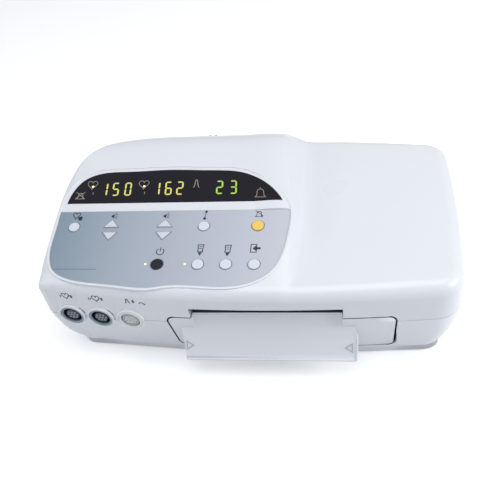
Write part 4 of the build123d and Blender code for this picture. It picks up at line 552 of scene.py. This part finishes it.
def make_finishes():
    """Every finish, by the name of its slot in the record or of its own use."""
    finishes = {
        "housing": housing_white(),
        "overlay": key_film(),
        "window": smoke_window(),
        "lamps": lamp_lens(),
        "paper": chart_paper(),
        "board": circuit_board(),
        "winding": wound_coil(),
        "laminations": sheet_stack(),
        "steel": plain_metal("plated_steel", tint(196, 198, 202), 0.3, (1, 1, 0.2)),
        "brass": plain_metal("turned_brass", tint(208, 178, 104), 0.26, (0.2, 1, 1)),
        "heatsink": plain_metal("drawn_aluminium", tint(176, 178, 184), 0.38, (0.1, 1, 1)),
        "figures_yellow": glowing("figures_yellow", tint(238, 234, 118), 1.0),
        "figures_green": glowing("figures_green", tint(186, 229, 88), 1.0),
        "sign_grey": glowing("sign_grey", tint(158, 150, 140), 0.9),
        "lamp_glow": glowing("lamp_glow", tint(255, 248, 170), 1.6),
        "contact_gold": plain_metal("contact_gold", tint(226, 214, 176), 0.3),
    }
    for slot, colour, shade, rough in (
        ("digits", (52, 50, 56), (42, 40, 46), 0.4),
        ("key_white", (228, 231, 238), (221, 225, 233), 0.3),
        ("key_yellow", (250, 214, 112), (247, 205, 98), 0.3),
        ("key_grey", (222, 226, 232), (214, 219, 226), 0.3),
        ("key_dark", (22, 27, 32), (28, 33, 38), 0.3),
        ("rubber", (60, 60, 62), (48, 48, 50), 0.72),
        ("chip", (36, 36, 38), (44, 44, 46), 0.5),
        ("insert_teal", (52, 64, 76), (44, 56, 68), 0.4),
        ("insert_cream", (180, 185, 182), (172, 177, 174), 0.35),
        ("black_plastic", (30, 30, 33), (38, 38, 41), 0.42),
        ("nylon", (226, 225, 217), (216, 215, 206), 0.4),
        ("can", (62, 70, 104), (54, 60, 92), 0.35),
        ("cone", (50, 50, 52), (38, 38, 40), 0.8),
        # The ink also paints the shadow beside each socket collar
        ("ink", (30, 34, 44), (40, 44, 56), 0.45),
        # The pale ink also paints the shadow line round each key
        ("ink_pale", (104, 116, 134), (112, 124, 142), 0.45),
        ("contact_grey", (190, 200, 205), (178, 189, 195), 0.35),
        ("contact_cream", (244, 244, 240), (236, 237, 233), 0.35),
        # The flap's moulded triangles are coloured darker than the housing: painted shade
        ("flap_mark", (196, 200, 212), (180, 185, 199), 0.35),
    ):
        finishes[slot] = moulded(slot + "_finish", tint(*colour), tint(*shade), rough)
    # Each shell's ring colour, its painted shadow deep in the bore, and its inner colour
    teal = (tint(150, 166, 180), tint(22, 32, 46), tint(128, 146, 162))
    cream = (tint(247, 248, 247), tint(204, 208, 206), tint(242, 243, 242))
    for name, x in SOCKETS.items():
        colours = teal if name.startswith("heart") else cream
        finishes[name] = shell_finish(name + "_ring", x, *colours)
    return finishes


def dress(finishes):
    """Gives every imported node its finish, by its slot in the record."""
    for part in frame["record"]["subparts"]:
        node, slot = part["node"], part["material_slot"]
        finish = finishes[node[:-len("_shell")]] if node.endswith("_shell") else finishes[slot]
        for material_slot in nodes[node].material_slots:
            material_slot.material = finish.material


# Where signs and figures lie

PANEL_ACROSS = Vector((1, 0, 0))
PANEL_UP = Vector((0, cos(PANEL_TILT), sin(PANEL_TILT)))
PANEL_OUT = Vector((0, -sin(PANEL_TILT), cos(PANEL_TILT)))
PANEL_START = Vector((0, PANEL_FRONT_Y + SHIFT, PANEL_FRONT_Z)) + PANEL_OUT * PAD_RISE


def on_panel(u, v, rise):
    """Point on the sloping panel, in metres: u to the right, v up the slope, in millimetres."""
    return (PANEL_START + PANEL_ACROSS * u + PANEL_UP * v + PANEL_OUT * rise) * MM


def seen_from_front(piece):
    """Gives the place on a piece's front for a width and a height, both in millimetres."""
    mesh = piece.data
    surface = BVHTree.FromPolygons([v.co for v in mesh.vertices], [p.vertices for p in mesh.polygons])
    far_ahead = -1

    def place(x, z, rise):
        start = Vector((x * MM, far_ahead, z * MM))
        hit, normal, _, _ = surface.ray_cast(start, Vector((0, 1, 0)))
        return hit + normal * rise * MM

    return place


def in_window(u, v, rise):
    """Point on the panel for a sign in the window, which leans with the figures."""
    return on_panel(u + (v - FIGURE_FOOT) * WINDOW_LEAN, v, rise)


# Flat shapes, drawn in millimetres

def arc(centre, radius, start, end, steps, squash=1.0):
    """Points along an arc, its angles in degrees."""
    turns = [radians(start + (end - start) * step / steps) for step in range(steps + 1)]
    u, v = centre
    return [(u + radius * cos(turn), v + radius * squash * sin(turn)) for turn in turns]


def moved(points, u, v, size=1.0):
    return [(u + x * size, v + y * size) for x, y in points]


def strip(points, width, closed=False):
    """Four-sided pieces that follow a line, mitred where it turns."""
    path = [Vector(point) for point in points]
    count = len(path)
    sides = []
    for index, point in enumerate(path):
        legs = []
        if closed or index > 0:
            legs.append((point - path[index - 1]).normalized())
        if closed or index < count - 1:
            legs.append((path[(index + 1) % count] - point).normalized())
        way = sum(legs, Vector((0, 0))).normalized()
        square = Vector((-way.y, way.x))
        reach = width / 2 / max(way.dot(legs[0]), 0.5)
        sides.append((point + square * reach, point - square * reach))
    after = sides[1:] + sides[:1] if closed else sides[1:]
    return [(a[0], a[1], b[1], b[0]) for a, b in zip(sides, after)]


def heart(u, v, height):
    """Outline of a heart whose middle is at a place, from the well known heart curve."""
    points = []
    for step in range(HEART_STEPS):
        turn = 2 * pi * step / HEART_STEPS
        x = 16 * HEART_CURVE_PLUMP * sin(turn) ** 3
        y = 13 * cos(turn) - 5 * cos(2 * turn) - 2 * cos(3 * turn) - cos(4 * turn) + HEART_CURVE_DROP
        points.append((u + x * height / HEART_CURVE_HEIGHT, v + y * height / HEART_CURVE_HEIGHT))
    return points


def bell(u, v, height, brim, drop):
    """Lines of a bell that stands on a place: flared sides, a round crown and a brim below."""
    side = [(0.46, 0.0), (0.33, 0.16), (0.3, 0.5)]
    crown = arc((0, 0.58), 0.3, 12, 168, 10, squash=1.05)
    shape = moved(side + crown + [(-x, y) for x, y in reversed(side)], u, v, height)
    return strip(shape, FINE_LINE) + strip([(u - brim, v - drop), (u + brim, v - drop)], FINE_LINE)


def solid_shape(name, pieces, place, rise, finish, body="casing"):
    """Thin raised shape: flat pieces laid on a surface through its place function."""
    build = bmesh.new()
    for piece in pieces:
        build.faces.new([build.verts.new((x, y, rise)) for x, y in piece])
    bmesh.ops.remove_doubles(build, verts=build.verts, dist=1e-4)
    out = bmesh.ops.extrude_face_region(build, geom=build.faces[:])
    for item in out["geom"]:
        if isinstance(item, bmesh.types.BMVert):
            item.co.z = 0.0
    bmesh.ops.recalc_face_normals(build, faces=build.faces)
    for vert in build.verts:
        vert.co = place(vert.co.x, vert.co.y, vert.co.z)
    bmesh.ops.recalc_face_normals(build, faces=build.faces)
    return shown(name, built(name, build), finish, body)


def shown(name, mesh, finish, body):
    """Puts a finished mesh in the scene, on the body that carries it."""
    mesh.materials.clear()
    mesh.materials.append(finish.material)
    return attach(linked(name, mesh), body)


# What repeats: one small piece set at many places

def scatter_tree():
    """Geometry nodes that set a piece at every point, turned and stretched as the point says."""
    tree = bpy.data.node_groups.new("set_at_points", "GeometryNodeTree")
    inputs = {"Places": "Geometry", "Piece": "Object", "Size": "Float", "Finish": "Material"}
    for name, kind in inputs.items():
        tree.interface.new_socket(name, in_out="INPUT", socket_type="NodeSocket" + kind)
    tree.interface.new_socket("Pieces", in_out="OUTPUT", socket_type="NodeSocketGeometry")

    def node(kind, **settings):
        made = tree.nodes.new(kind)
        for key, value in settings.items():
            setattr(made, key, value)
        return made

    start, end = node("NodeGroupInput"), node("NodeGroupOutput")
    piece = node("GeometryNodeObjectInfo")
    turn = node("GeometryNodeInputNamedAttribute", data_type="FLOAT_VECTOR")
    stretch = node("GeometryNodeInputNamedAttribute", data_type="FLOAT_VECTOR")
    turn.inputs["Name"].default_value = "turn"
    stretch.inputs["Name"].default_value = "stretch"
    sized = node("ShaderNodeVectorMath", operation="SCALE")
    rotation = node("FunctionNodeEulerToRotation")
    instance = node("GeometryNodeInstanceOnPoints")
    real = node("GeometryNodeRealizeInstances")
    coat = node("GeometryNodeSetMaterial")
    for source, target in (
        (start.outputs["Piece"], piece.inputs["Object"]),
        (start.outputs["Places"], instance.inputs["Points"]),
        (piece.outputs["Geometry"], instance.inputs["Instance"]),
        (turn.outputs[0], rotation.inputs[0]),
        (rotation.outputs[0], instance.inputs["Rotation"]),
        (stretch.outputs[0], sized.inputs[0]),
        (start.outputs["Size"], sized.inputs["Scale"]),
        (sized.outputs[0], instance.inputs["Scale"]),
        (instance.outputs[0], real.inputs[0]),
        (real.outputs[0], coat.inputs["Geometry"]),
        (start.outputs["Finish"], coat.inputs["Material"]),
        (coat.outputs[0], end.inputs["Pieces"]),
    ):
        tree.links.new(source, target)
    return tree


SCATTER = scatter_tree()


def set_at(name, unit, places, finish):
    """One unit mesh at many places, each a point, a turn as a matrix and a stretch."""
    mesh = bpy.data.meshes.new(name + "_places")
    mesh.from_pydata([place for place, _, _ in places], [], [])
    turns = mesh.attributes.new("turn", "FLOAT_VECTOR", "POINT")
    stretches = mesh.attributes.new("stretch", "FLOAT_VECTOR", "POINT")
    for index, (_, turn, stretch) in enumerate(places):
        turns.data[index].vector = turn.to_euler()
        stretches.data[index].vector = stretch
    points = linked(name + "_places", mesh)
    piece = linked(name + "_unit", unit)
    modifier = points.modifiers.new("set_at_points", "NODES")
    modifier.node_group = SCATTER
    sockets = {
        item.name: item.identifier for item in SCATTER.interface.items_tree
        if item.item_type == "SOCKET" and item.in_out == "INPUT"
    }
    modifier[sockets["Piece"]] = piece
    modifier[sockets["Size"]] = MM
    modifier[sockets["Finish"]] = finish.material
    result = grown(name, points)
    bpy.data.objects.remove(piece)
    shown(name, result, finish, "casing")


def segment_unit():
    """One bar of a figure, one unit long and wide, with pointed ends and a flat top."""
    tip = 0.5
    shoulder = 0.5 - SEGMENT_WIDTH / FIGURE_WIDTH / 2
    above = [(tip, 0), (shoulder, 0.5), (-shoulder, 0.5)]
    outline = above + [(-x, -y) for x, y in above]
    build = bmesh.new()
    top = [build.verts.new((x, y, 1)) for x, y in outline]
    base = [build.verts.new((x, y, 0)) for x, y in outline]
    build.faces.new(top)
    build.faces.new(reversed(base))
    for index, (a, b) in enumerate(zip(top, base)):
        after = (index + 1) % len(top)
        build.faces.new((a, b, base[after], top[after]))
    bmesh.ops.recalc_face_normals(build, faces=build.faces)
    return built("segment_unit", build)


def turned(profile, sides):
    """A closed round form, as a bmesh, from a list of radius and height."""
    build = bmesh.new()
    turns = [2 * pi * step / sides for step in range(sides)]
    levels = [
        [build.verts.new((radius * cos(turn), radius * sin(turn), height)) for turn in turns]
        for radius, height in profile
    ]
    for lower, upper in zip(levels, levels[1:]):
        for index in range(sides):
            after = (index + 1) % sides
            build.faces.new((lower[index], lower[after], upper[after], upper[index]))
    build.faces.new(reversed(levels[0]))
    build.faces.new(levels[-1])
    return build


def pin_unit(profile):
    """One contact, one unit in radius and length."""
    return built("pin_unit", turned(profile, PIN_SIDES))


# Display window

def figure_bars(text, feet):
    """Places of the lit bars of a row of figures, whose left strokes stand at these widths."""
    frame_turn = Matrix((PANEL_ACROSS, PANEL_UP, PANEL_OUT)).transposed()
    half = FIGURE_HEIGHT / 2
    middles = {
        "a": (0.5, 2, True), "g": (0.5, 1, True), "d": (0.5, 0, True),
        "f": (0, 1.5, False), "b": (1, 1.5, False), "e": (0, 0.5, False), "c": (1, 0.5, False),
    }
    places = []
    for figure, foot in zip(text, feet):
        for letter in SEGMENTS[figure]:
            across, halves, level = middles[letter]
            length = (FIGURE_WIDTH if level else half) - SEGMENT_GAP
            turn = 0 if level else pi / 2 - WINDOW_LEAN
            rotated = frame_turn @ Matrix.Rotation(turn, 3, "Z")
            stretch = (length, SEGMENT_WIDTH, SEGMENT_RISE)
            place = in_window(foot + across * FIGURE_WIDTH, FIGURE_FOOT + halves * half, SEGMENT_CLEAR)
            places.append((place, rotated, stretch))
    return places


def make_window_signs(finishes):
    """Lit figures, hearts with their lamps, bars, the contraction sign and the two bells."""
    unit = segment_unit()
    rates = figure_bars("150", (-173.1, -159.2, -144.4)) + figure_bars("162", (-110.4, -96.4, -83.0))
    set_at("rate_figures", unit, rates, finishes["figures_yellow"])
    set_at("contraction_figures", unit, figure_bars("23", (-37.0, -21.4)), finishes["figures_green"])

    grey = finishes["sign_grey"]
    hearts = strip(heart(-185.3, 149.4, 12.6), FINE_LINE, closed=True)
    hearts += strip(heart(-123.0, 148.6, 12.6), FINE_LINE, closed=True)
    solid_shape("heart_signs", hearts, in_window, SIGN_RISE, grey)
    glows = [arc(place, 1.5, 0, 336, 14) for place in ((-184.5, 147.4), (-122.4, 146.4))]
    solid_shape("heart_glows", glows, in_window, SIGN_RISE + 0.03, finishes["lamp_glow"])
    bar = [(-0.4, -1.6), (0.4, -1.6), (0.4, 1.6), (-0.4, 1.6)]
    bars = [moved(bar, -182.9, 137.2), moved(bar, -121.0, 136.4)]
    solid_shape("channel_bars", bars, in_window, SIGN_RISE, grey)

    rise = [(-64.4, 143.2), (-63.5, 144.2), (-62.6, 148.0), (-62.2, 151.2)]
    over = arc((-60.9, 151.8), 1.3, 170, 10, 8, squash=2.2)
    fall = [(-59.6, 151.2), (-59.2, 148.0), (-58.3, 144.2), (-57.4, 143.2)]
    curve = strip(rise + over + fall, LINE)
    bells = bell(12.2, 128.0, 12.4, 6.2, 0.2)
    bells.append(arc((12.2, 140.6), 0.7, 0, 330, 8))
    bells += bell(-197.6, 129.6, 9.0, 5.8, 0.4)
    solid_shape("contraction_and_bells", curve + bells, in_window, SIGN_RISE, grey)
    cross = strip([(-203.4, 139.4), (-192.4, 129.6)], FINE_LINE)
    solid_shape("silence_stroke", cross, in_window, SIGN_RISE + 0.02, grey)
    back = strip([(-192.4, 139.4), (-203.4, 129.9)], FINE_LINE)
    solid_shape("silence_back_stroke", back, in_window, SIGN_RISE + 0.04, grey)


# Key film

def hand(u, v, size, slim=1.0):
    """Small mitten of a hand, pointing up to the left."""
    shape = [
        (-0.9, 0.9), (-0.35, 0.55), (0.1, 0.9), (0.75, 0.85),
        (1.0, 0.2), (0.8, -0.9), (-0.2, -0.95), (-0.65, -0.2),
    ]
    return moved([(x * slim, y) for x, y in shape], u, v, size)


def speaker(u, v):
    """Small loudspeaker with four rays of sound: its solid body, and its lines."""
    body = [(-2.6, -1.5), (-1.2, -1.5), (0.6, -3.2), (0.6, 3.2), (-1.2, 1.5), (-2.6, 1.5)]
    rays = (
        [(1.6, 0.0), (4.4, 0.0)], [(1.5, 1.5), (4.0, 3.1)],
        [(1.5, -1.5), (4.0, -3.1)], [(1.0, 3.9), (2.2, 5.0)],
    )
    lines = [piece for ray in rays for piece in strip(moved(ray, u, v), FINE_LINE)]
    return moved(body, u, v), lines


def make_film_signs(finishes):
    """Signs printed over the keys, and the thin rule on the left."""
    lines = strip(heart(-194.8, 104.2, 8.8), LINE, closed=True)
    blocks = [hand(-189.8, 100.6, 3.1)]
    for u, v in ((-150.3, 103.2), (-90.2, 102.7)):
        body, rays = speaker(u, v)
        blocks.append(body)
        lines += rays
    lines += strip([(-45.9, 99.6), (-45.2, 107.4)], FINE_LINE)
    blocks += [arc((-46.0, 98.6), 1.7, 0, 330, 10), arc((-45.1, 108.0), 1.6, 0, 330, 10)]
    lines += bell(13.4, 100.8, 7.6, 4.6, 0.3)
    lines += strip(arc((-88.3, 55.0), 4.1, 125, 415, 20), LINE)
    lines += strip([(-88.3, 55.6), (-88.3, 60.4)], LINE)
    for u, v in ((-45.2, 57.3), (-15.9, 56.6)):
        sheet = [(-3.0, 6.2), (3.4, 6.4), (2.6, 1.0), (2.9, -2.6), (-2.6, -2.6), (-2.2, 1.0)]
        lines += strip(moved(sheet, u, v), LINE, closed=True)
        lines += strip(moved([(-1.6, 3.9), (1.9, 4.0)], u, v), FINE_LINE)
        lines += strip(moved([(-1.3, 1.4), (1.6, 1.5)], u, v), FINE_LINE)
        blocks.append(moved([(-2.1, -3.4), (2.4, -3.4), (0.2, -7.8)], u, v))
    lines += strip([(8.4, 63.8), (14.4, 63.8), (14.4, 54.0), (8.4, 54.0)], LINE, closed=True)
    shaft = [(13.8, 60.2), (18.6, 60.2), (18.6, 57.6), (13.8, 57.6)]
    blocks.append([(10.2, 58.9), (13.8, 62.2)] + shaft + [(13.8, 55.6)])
    solid_shape("film_lines", lines, on_panel, INK_RISE, finishes["ink"])
    solid_shape("film_blocks", blocks, on_panel, INK_RISE + 0.02, finishes["ink"])
    strokes = strip([(9.4, 108.8), (18.0, 101.2)], FINE_LINE)
    solid_shape("alarm_silence_stroke", strokes, on_panel, INK_RISE + 0.03, finishes["ink"])
    rule = strip([(-203.2, 32.5), (-154.5, 32.5)], FINE_LINE)
    solid_shape("film_rule", rule, on_panel, INK_RISE, finishes["ink_pale"])


def make_key_shadow_rings(finishes):
    """The thin dark line round each key: a painted shadow, in the pale ink's finish."""
    shadow_rings = []
    for node in nodes:
        if not node.endswith("_key") and "_key_" not in node:
            continue
        corners = [vert.co / MM - PANEL_START for vert in nodes[node].data.vertices]
        spans = [[corner.dot(way) for corner in corners] for way in (PANEL_ACROSS, PANEL_UP)]
        u, v = ((min(span) + max(span)) / 2 for span in spans)
        if node.startswith("volume"):
            half, rise = ARROW_HALF_WIDTH + 2 * KEY_SHADOW_GAP, ARROW_HALF_HEIGHT + KEY_SHADOW_GAP
            way = 1 if "up" in node else -1
            ring = [(u - half, v - way * rise), (u + half, v - way * rise), (u, v + way * rise)]
        else:
            radius = LARGE_KEY if node in ("alarm_silence_key", "power_key") else SMALL_KEY
            ring = arc((u, v), radius + KEY_SHADOW_GAP, 0, 350, 35)
        shadow_rings += strip(ring, KEY_SHADOW_WIDTH, closed=True)
    solid_shape("key_rings", shadow_rings, on_panel, INK_RISE, finishes["ink_pale"])


# Front wall

def make_socket_signs(finishes):
    """Signs printed on the front wall over the sockets, and a painted shadow in the crease beside each
    collar.
    """
    wall = seen_from_front(nodes["top_housing"])
    lines, blocks = [], []
    for x, strokes in ((-188.4, 1), (-153.6, 2)):
        lines += strip(heart(x, 107.2, 8.8), WALL_LINE, closed=True)
        blocks.append(hand(x + 6.2, 107.2, 2.7, HAND_SLIM))
        for stroke in range(strokes):
            left = x - 6.4 - stroke * 2.1
            lines += strip([(left, 105.0), (left + 0.3, 108.2)], WALL_LINE)
    rise = [(-121.6, 104.0), (-120.3, 104.6), (-119.6, 110.0)]
    fall = [(-118.2, 110.4), (-117.0, 105.0), (-115.8, 104.2)]
    lines += strip(rise + fall, WALL_LINE)
    blocks.append(hand(-112.4, 107.0, 2.7, HAND_SLIM))
    lines += strip(arc((-103.6, 103.2), 2.6, 15, 165, 8), WALL_LINE)
    blocks.append(arc((-100.4, 103.4), 1.0, 0, 320, 8))
    solid_shape("socket_signs", lines, wall, INK_RISE, finishes["ink"])
    solid_shape("socket_sign_blocks", blocks, wall, INK_RISE + 0.02, finishes["ink"])
    # Painted shadow, in ink, where each heart socket's collar meets the wall
    crease_shadows = []
    for name in ("heart_socket_1", "heart_socket_2"):
        crease_shadows += strip(arc((SOCKETS[name], SEAM_Z), COLLAR_SHADOW_RADIUS, 50, 16, 8), LINE)
    solid_shape("collar_creases", crease_shadows, wall, INK_RISE, finishes["ink"])


# Housing pieces drawn closer to the photograph

def redrawn(name, node, moves, finish, body="casing", keep_normals=True):
    """A merged copy of a packed white moulding, each of its points placed anew by a function.

    Its faces can keep the normals they were packed with, except where a point moves.
    """
    packed = nodes[node].data
    build = bmesh.new()
    build.from_mesh(packed)
    kept = build.loops.layers.float_vector.new("kept_normal")
    for face in build.faces:
        for corner in face.loops:
            corner[kept] = packed.corner_normals[corner.index].vector
    bmesh.ops.remove_doubles(build, verts=build.verts, dist=1e-6)
    for vert in build.verts:
        start = vert.co.copy()
        x, y, z = moves(start.x / MM, start.y / MM - SHIFT, start.z / MM)
        vert.co = Vector((x, y + SHIFT, z)) * MM
        if (vert.co - start).length > MOVED:
            for corner in vert.link_loops:
                corner[kept] = (0, 0, 0)
    mesh = built(name, build)
    normals = [corner.vector[:] for corner in mesh.attributes["kept_normal"].data]
    mesh.attributes.remove(mesh.attributes["kept_normal"])
    if keep_normals:
        mesh.shade_smooth()
        mesh.set_sharp_from_angle(angle=SHARP_ANGLE)
        mesh.normals_split_custom_set(normals)
    piece = shown(name, mesh, finish, body)
    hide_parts(node)
    return piece


def risen(value, start, end):
    """0 up to a start, 1 past an end, and an even rise between them."""
    return min(max((value - start) / (end - start), 0), 1)


def eased(value, start, end):
    """As risen, but soft at both ends."""
    share = risen(value, start, end)
    return share * share * (3 - 2 * share)


def squared(x, y, z):
    """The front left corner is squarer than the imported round, whose centre shifts below the seam."""
    drop = max(SEAM_Z - z, 0)
    centre_x = ROUND_X + drop ** 2 * ROUND_SHIFT_X
    centre_y = ROUND_Y + drop * ROUND_SHIFT_Y
    beside, ahead = centre_x - x, centre_y - y
    if beside <= 0 or ahead <= 0:
        return x, y
    far = (beside ** 2 + ahead ** 2) ** 0.5
    square = (beside ** ROUND_POWER + ahead ** ROUND_POWER) ** (1 / ROUND_POWER)
    grow = 1 + (far / square - 1) * eased(far, *ROUND_BAND) * eased(z, *ROUND_RISE)
    return centre_x - beside * grow, centre_y - ahead * grow


def base_point(x, y, z):
    """The base's ends and front corners stand further out near the floor, its front left one squarer."""
    x, y = squared(x, y, z)
    corner = (abs(x) + abs(y - FEET_CENTRE_Y)) * CORNER_SLOPE if y < FEET_CENTRE_Y else 0
    share = max(eased(abs(x), *END_BAND), eased(corner, *CORNER_BAND))
    reach = BASE_REACH * max(1 - z / BASE_TOP, 0) ** BASE_POWER
    return x + (reach * share if x > 0 else -reach * share), y, z


def dome_point(x, y, z):
    """The dome's rear left corner is rounder near the top, and its front left one squarer."""
    reach = DOME_REACH * risen((y - x) * CORNER_SLOPE, *DOME_BAND) ** 2 * eased(z, SEAM_Z, DOME_TOP)
    x, y = squared(x, y, z)
    return x + reach * CORNER_SLOPE, y - reach * CORNER_SLOPE, z


# Drawer front

def flap_curve_y(z):
    """How far forward the ramp and flap stand at a height: one arc through slot, knee and lip."""
    return RAMP_CENTRE_Y + (RAMP_RADIUS ** 2 - (z - RAMP_CENTRE_Z) ** 2) ** 0.5


def flap_drawn(x, y, z):
    """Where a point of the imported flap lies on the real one, whose right end is wider and stands back."""
    share = risen(z, KNEE_Z, LIP_Z)
    right = risen(x, FLAP_LEFT, FLAP_RIGHT)
    x += right ** FLAP_WIDER_POWER * (FLAP_WIDER + FLAP_LIP_WIDER * share ** 0.5)
    return x, y + share * right * FLAP_BACK, z + share * (FLAP_RISE + FLAP_RIGHT_RISE * right)


def front_point(x, y, z):
    """The flap's shoulders run into the door, and its right end is drawn out."""
    door_y = x * x / DOOR_BOW - FRONT_REACH + (SEAM_Z - z) * DOOR_LEAN
    beside = x < TONGUE_LEFT - TONGUE_CLEAR or x > TONGUE_RIGHT + TONGUE_CLEAR
    if beside and abs(z - KNEE_Z) < KNEE_NEAR_Z and abs(y - KNEE_Y) < KNEE_NEAR_Y:
        return x, SHOULDER_Y, SHOULDER_Z
    if z < KNEE_Z and y < door_y - DOOR_CLEAR:
        return flap_drawn(x, y, z)
    return x, y, z


def make_flap_bead(finish):
    """The rounded bead that stiffens the flap along its lip and up its right end."""
    route = [(x, BEAD_FOOT) for x in (BEAD_START, BEAD_MIDDLE, BEAD_TURN)]
    for turn in (25, 50, 75):
        x = BEAD_TURN + BEAD_TURN_WIDTH * sin(radians(turn))
        route.append((x, BEAD_FOOT + BEAD_TURN_HEIGHT * (1 - cos(radians(turn)))))
    route += BEAD_END
    curve = bpy.data.curves.new("flap_bead", "CURVE")
    curve.dimensions = "3D"
    curve.bevel_depth = BEAD_RADIUS * MM
    curve.bevel_resolution = 4
    curve.use_fill_caps = True
    line = curve.splines.new("NURBS")
    line.points.add(len(route) - 1)
    for point, (x, z) in zip(line.points, route):
        x, y, z = flap_drawn(x, flap_curve_y(z) + BEAD_PROUD, z)
        point.co = (x * MM, (y + SHIFT) * MM, z * MM, 1)
    line.order_u = 3
    line.use_endpoint_u = True
    line.resolution_u = 8
    mesh = grown("flap_bead", linked("flap_bead_line", curve))
    mesh.shade_smooth()
    shown("flap_bead", mesh, finish, "drawer")


def make_flap_marks(finish, face):
    """The two small triangles moulded proud of the drawer's flap, coloured darker than the white flap as
    painted shade.
    """
    flap = seen_from_front(face)
    marks = []
    for x, way in MARK_PLACES:
        widths = (x - way * MARK_BACK, x + way * MARK_FRONT, x + way * MARK_FRONT)
        marks += strip(zip(widths, MARK_HEIGHTS), MARK_WIDTH, closed=True)
    solid_shape("flap_marks", marks, flap, MARK_RISE, finish, body="drawer")


# Contacts

def socket_frame(x):
    """Middle of a socket on the front wall, and the turn that brings up to face out of it."""
    place, lean = wall_place(x)
    square = (1 - lean ** 2) ** 0.5
    across, up, out = Vector((square, lean, 0)), Vector((0, 0, 1)), Vector((lean, -square, 0))
    return place, Matrix((across, up, out)).transposed()


def make_sockets(finishes):
    """Insert of each probe socket, near the front of its shell, with its ten contacts."""
    places = {"contact_grey": [], "contact_cream": []}
    for name, x in SOCKETS.items():
        middle, turn = socket_frame(x)
        radius, contact, slot, kind = (
            (HEART_INSERT_RADIUS, CONTACT_RADIUS, "insert_teal", "contact_grey")
            if name.startswith("heart")
            else (UTERINE_INSERT_RADIUS, CREAM_CONTACT_RADIUS, "insert_cream", "contact_cream")
        )
        profile = [
            (radius, INSERT_BACK), (radius, INSERT_FRONT - BEVEL_DEPTH), (radius - BEVEL_WIDTH, INSERT_FRONT),
        ]
        build = turned(profile, INSERT_SIDES)
        for vert in build.verts:
            vert.co = (middle + turn @ vert.co) * MM
        insert = shown(name + "_face", built(name + "_face", build), finishes[slot], "casing")
        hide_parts(name + "_insert")
        for row, count in ((-1, 3), (0, 4), (1, 3)):
            for index in range(count):
                u = (index - (count - 1) / 2) * CONTACT_PITCH
                local = Vector((u, row * CONTACT_PITCH, INSERT_FRONT - CONTACT_SUNK))
                place = (middle + turn @ local) * MM
                places[kind].append((place, turn, (contact, contact, CONTACT_SUNK + CONTACT_STEP)))
    unit = pin_unit([(1.0, 0.0), (1.0, 0.9), (0.9, 1.0), (0.6, 1.0), (0.5, 0.9), (0.45, 0.5)])
    for kind, spots in places.items():
        set_at("socket_" + kind, unit, spots, finishes[kind])


def make_port_pins(finishes):
    """Gold pins of the data ports at the back."""
    back = Matrix(((1, 0, 0), (0, 0, -1), (0, 1, 0))).transposed()
    face_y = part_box("data_ports")[1].y
    pins = []
    for x in PORTS:
        for row, count in ((0.5, 5), (-0.5, 4)):
            for index in range(count):
                u = x + (index - (count - 1) / 2) * PIN_PITCH
                place = Vector((u * MM, face_y - PIN_SUNK * MM, (PORT_Z + row * PIN_ROW) * MM))
                pins.append((place, back, (PIN_RADIUS, PIN_RADIUS, PIN_REACH)))
    unit = pin_unit([(1.0, 0.0), (1.0, 0.75), (0.8, 0.9), (0.45, 1.0)])
    set_at("port_pins", unit, pins, finishes["contact_gold"])


# Studio

def set_camera():
    yaw = Matrix.Rotation(-CAMERA_YAW, 3, "Z")
    look = Matrix(((1, 0, 0), (0, 0, -1), (0, 1, 0)))
    pitch = Matrix.Rotation(CAMERA_PITCH, 3, "X")
    roll = Matrix.Rotation(CAMERA_ROLL, 3, "Z")
    right, down, ahead = roll @ pitch @ look @ yaw
    data = bpy.data.cameras.new("photo_camera")
    data.sensor_width = SENSOR_WIDTH
    data.lens = FOCAL_PIXELS * SENSOR_WIDTH / PICTURE_WIDTH
    data.clip_end = CLIP_END
    camera = linked("photo_camera", data)
    turn = Matrix((right, -down, -ahead)).transposed().to_4x4()
    place = (Vector(CAMERA_PLACE) + Vector((0, SHIFT, 0))) * MM
    camera.matrix_world = Matrix.Translation(place) @ turn
    bpy.context.scene.camera = camera


def soft_box(name, place, target, width, height, power):
    data = bpy.data.lights.new(name, "AREA")
    data.shape = "RECTANGLE"
    data.size = width
    data.size_y = height
    data.energy = power
    lamp = linked(name, data)
    lamp.location = place
    aim = Vector(target) - Vector(place)
    lamp.rotation_euler = aim.to_track_quat("-Z", "Y").to_euler()


def set_studio():
    bpy.context.scene.view_settings.view_transform = "Standard"
    world = bpy.data.worlds.new("studio")
    bpy.context.scene.world = world
    world.use_nodes = True
    sky = world.node_tree.nodes["Background"]
    sky.inputs["Color"].default_value = SKY_COLOUR
    sky.inputs["Strength"].default_value = SKY_STRENGTH
    for lamp in LAMPS:
        soft_box(*lamp)

    mesh = bpy.data.meshes.new("studio_floor")
    corners = [(x * FLOOR_REACH, y * FLOOR_REACH, 0) for x, y in ((-1, -1), (1, -1), (1, 1), (-1, 1))]
    mesh.from_pydata(corners, [], [(0, 1, 2, 3)])
    floor = linked("studio_floor", mesh)
    paper = Finish("studio_paper", Roughness=0.95, Specular_IOR_Level=0.0)
    seen = paper.node("ShaderNodeLightPath", output="Is Camera Ray")
    for ray in ("Is Glossy Ray", "Is Transmission Ray"):
        seen = seen.larger(paper.node("ShaderNodeLightPath", output=ray))
    paper.set(Base_Color=paper.mixed(seen, tint(212, 215, 220), tint(255, 255, 255)))
    lift = paper.mixed(seen, (0, 0, 0, 1), (0.3, 0.3, 0.3, 1))
    paper.set(Emission_Color=lift, Emission_Strength=1.0)
    mesh.materials.append(paper.material)


def main():
    finishes = make_finishes()
    dress(finishes)
    make_window_signs(finishes)
    make_film_signs(finishes)
    make_key_shadow_rings(finishes)
    make_socket_signs(finishes)
    make_sockets(finishes)
    make_port_pins(finishes)
    white = finishes["housing"]
    drawer_face = redrawn("drawer_face", "drawer_front", front_point, white, "drawer", keep_normals=False)
    make_flap_bead(white)
    make_flap_marks(finishes["flap_mark"], drawer_face)
    redrawn("base_shell", "bottom_housing", base_point, white)
    redrawn("dome_shell", "top_housing", dome_point, white)
    set_camera()
    set_studio()


main()
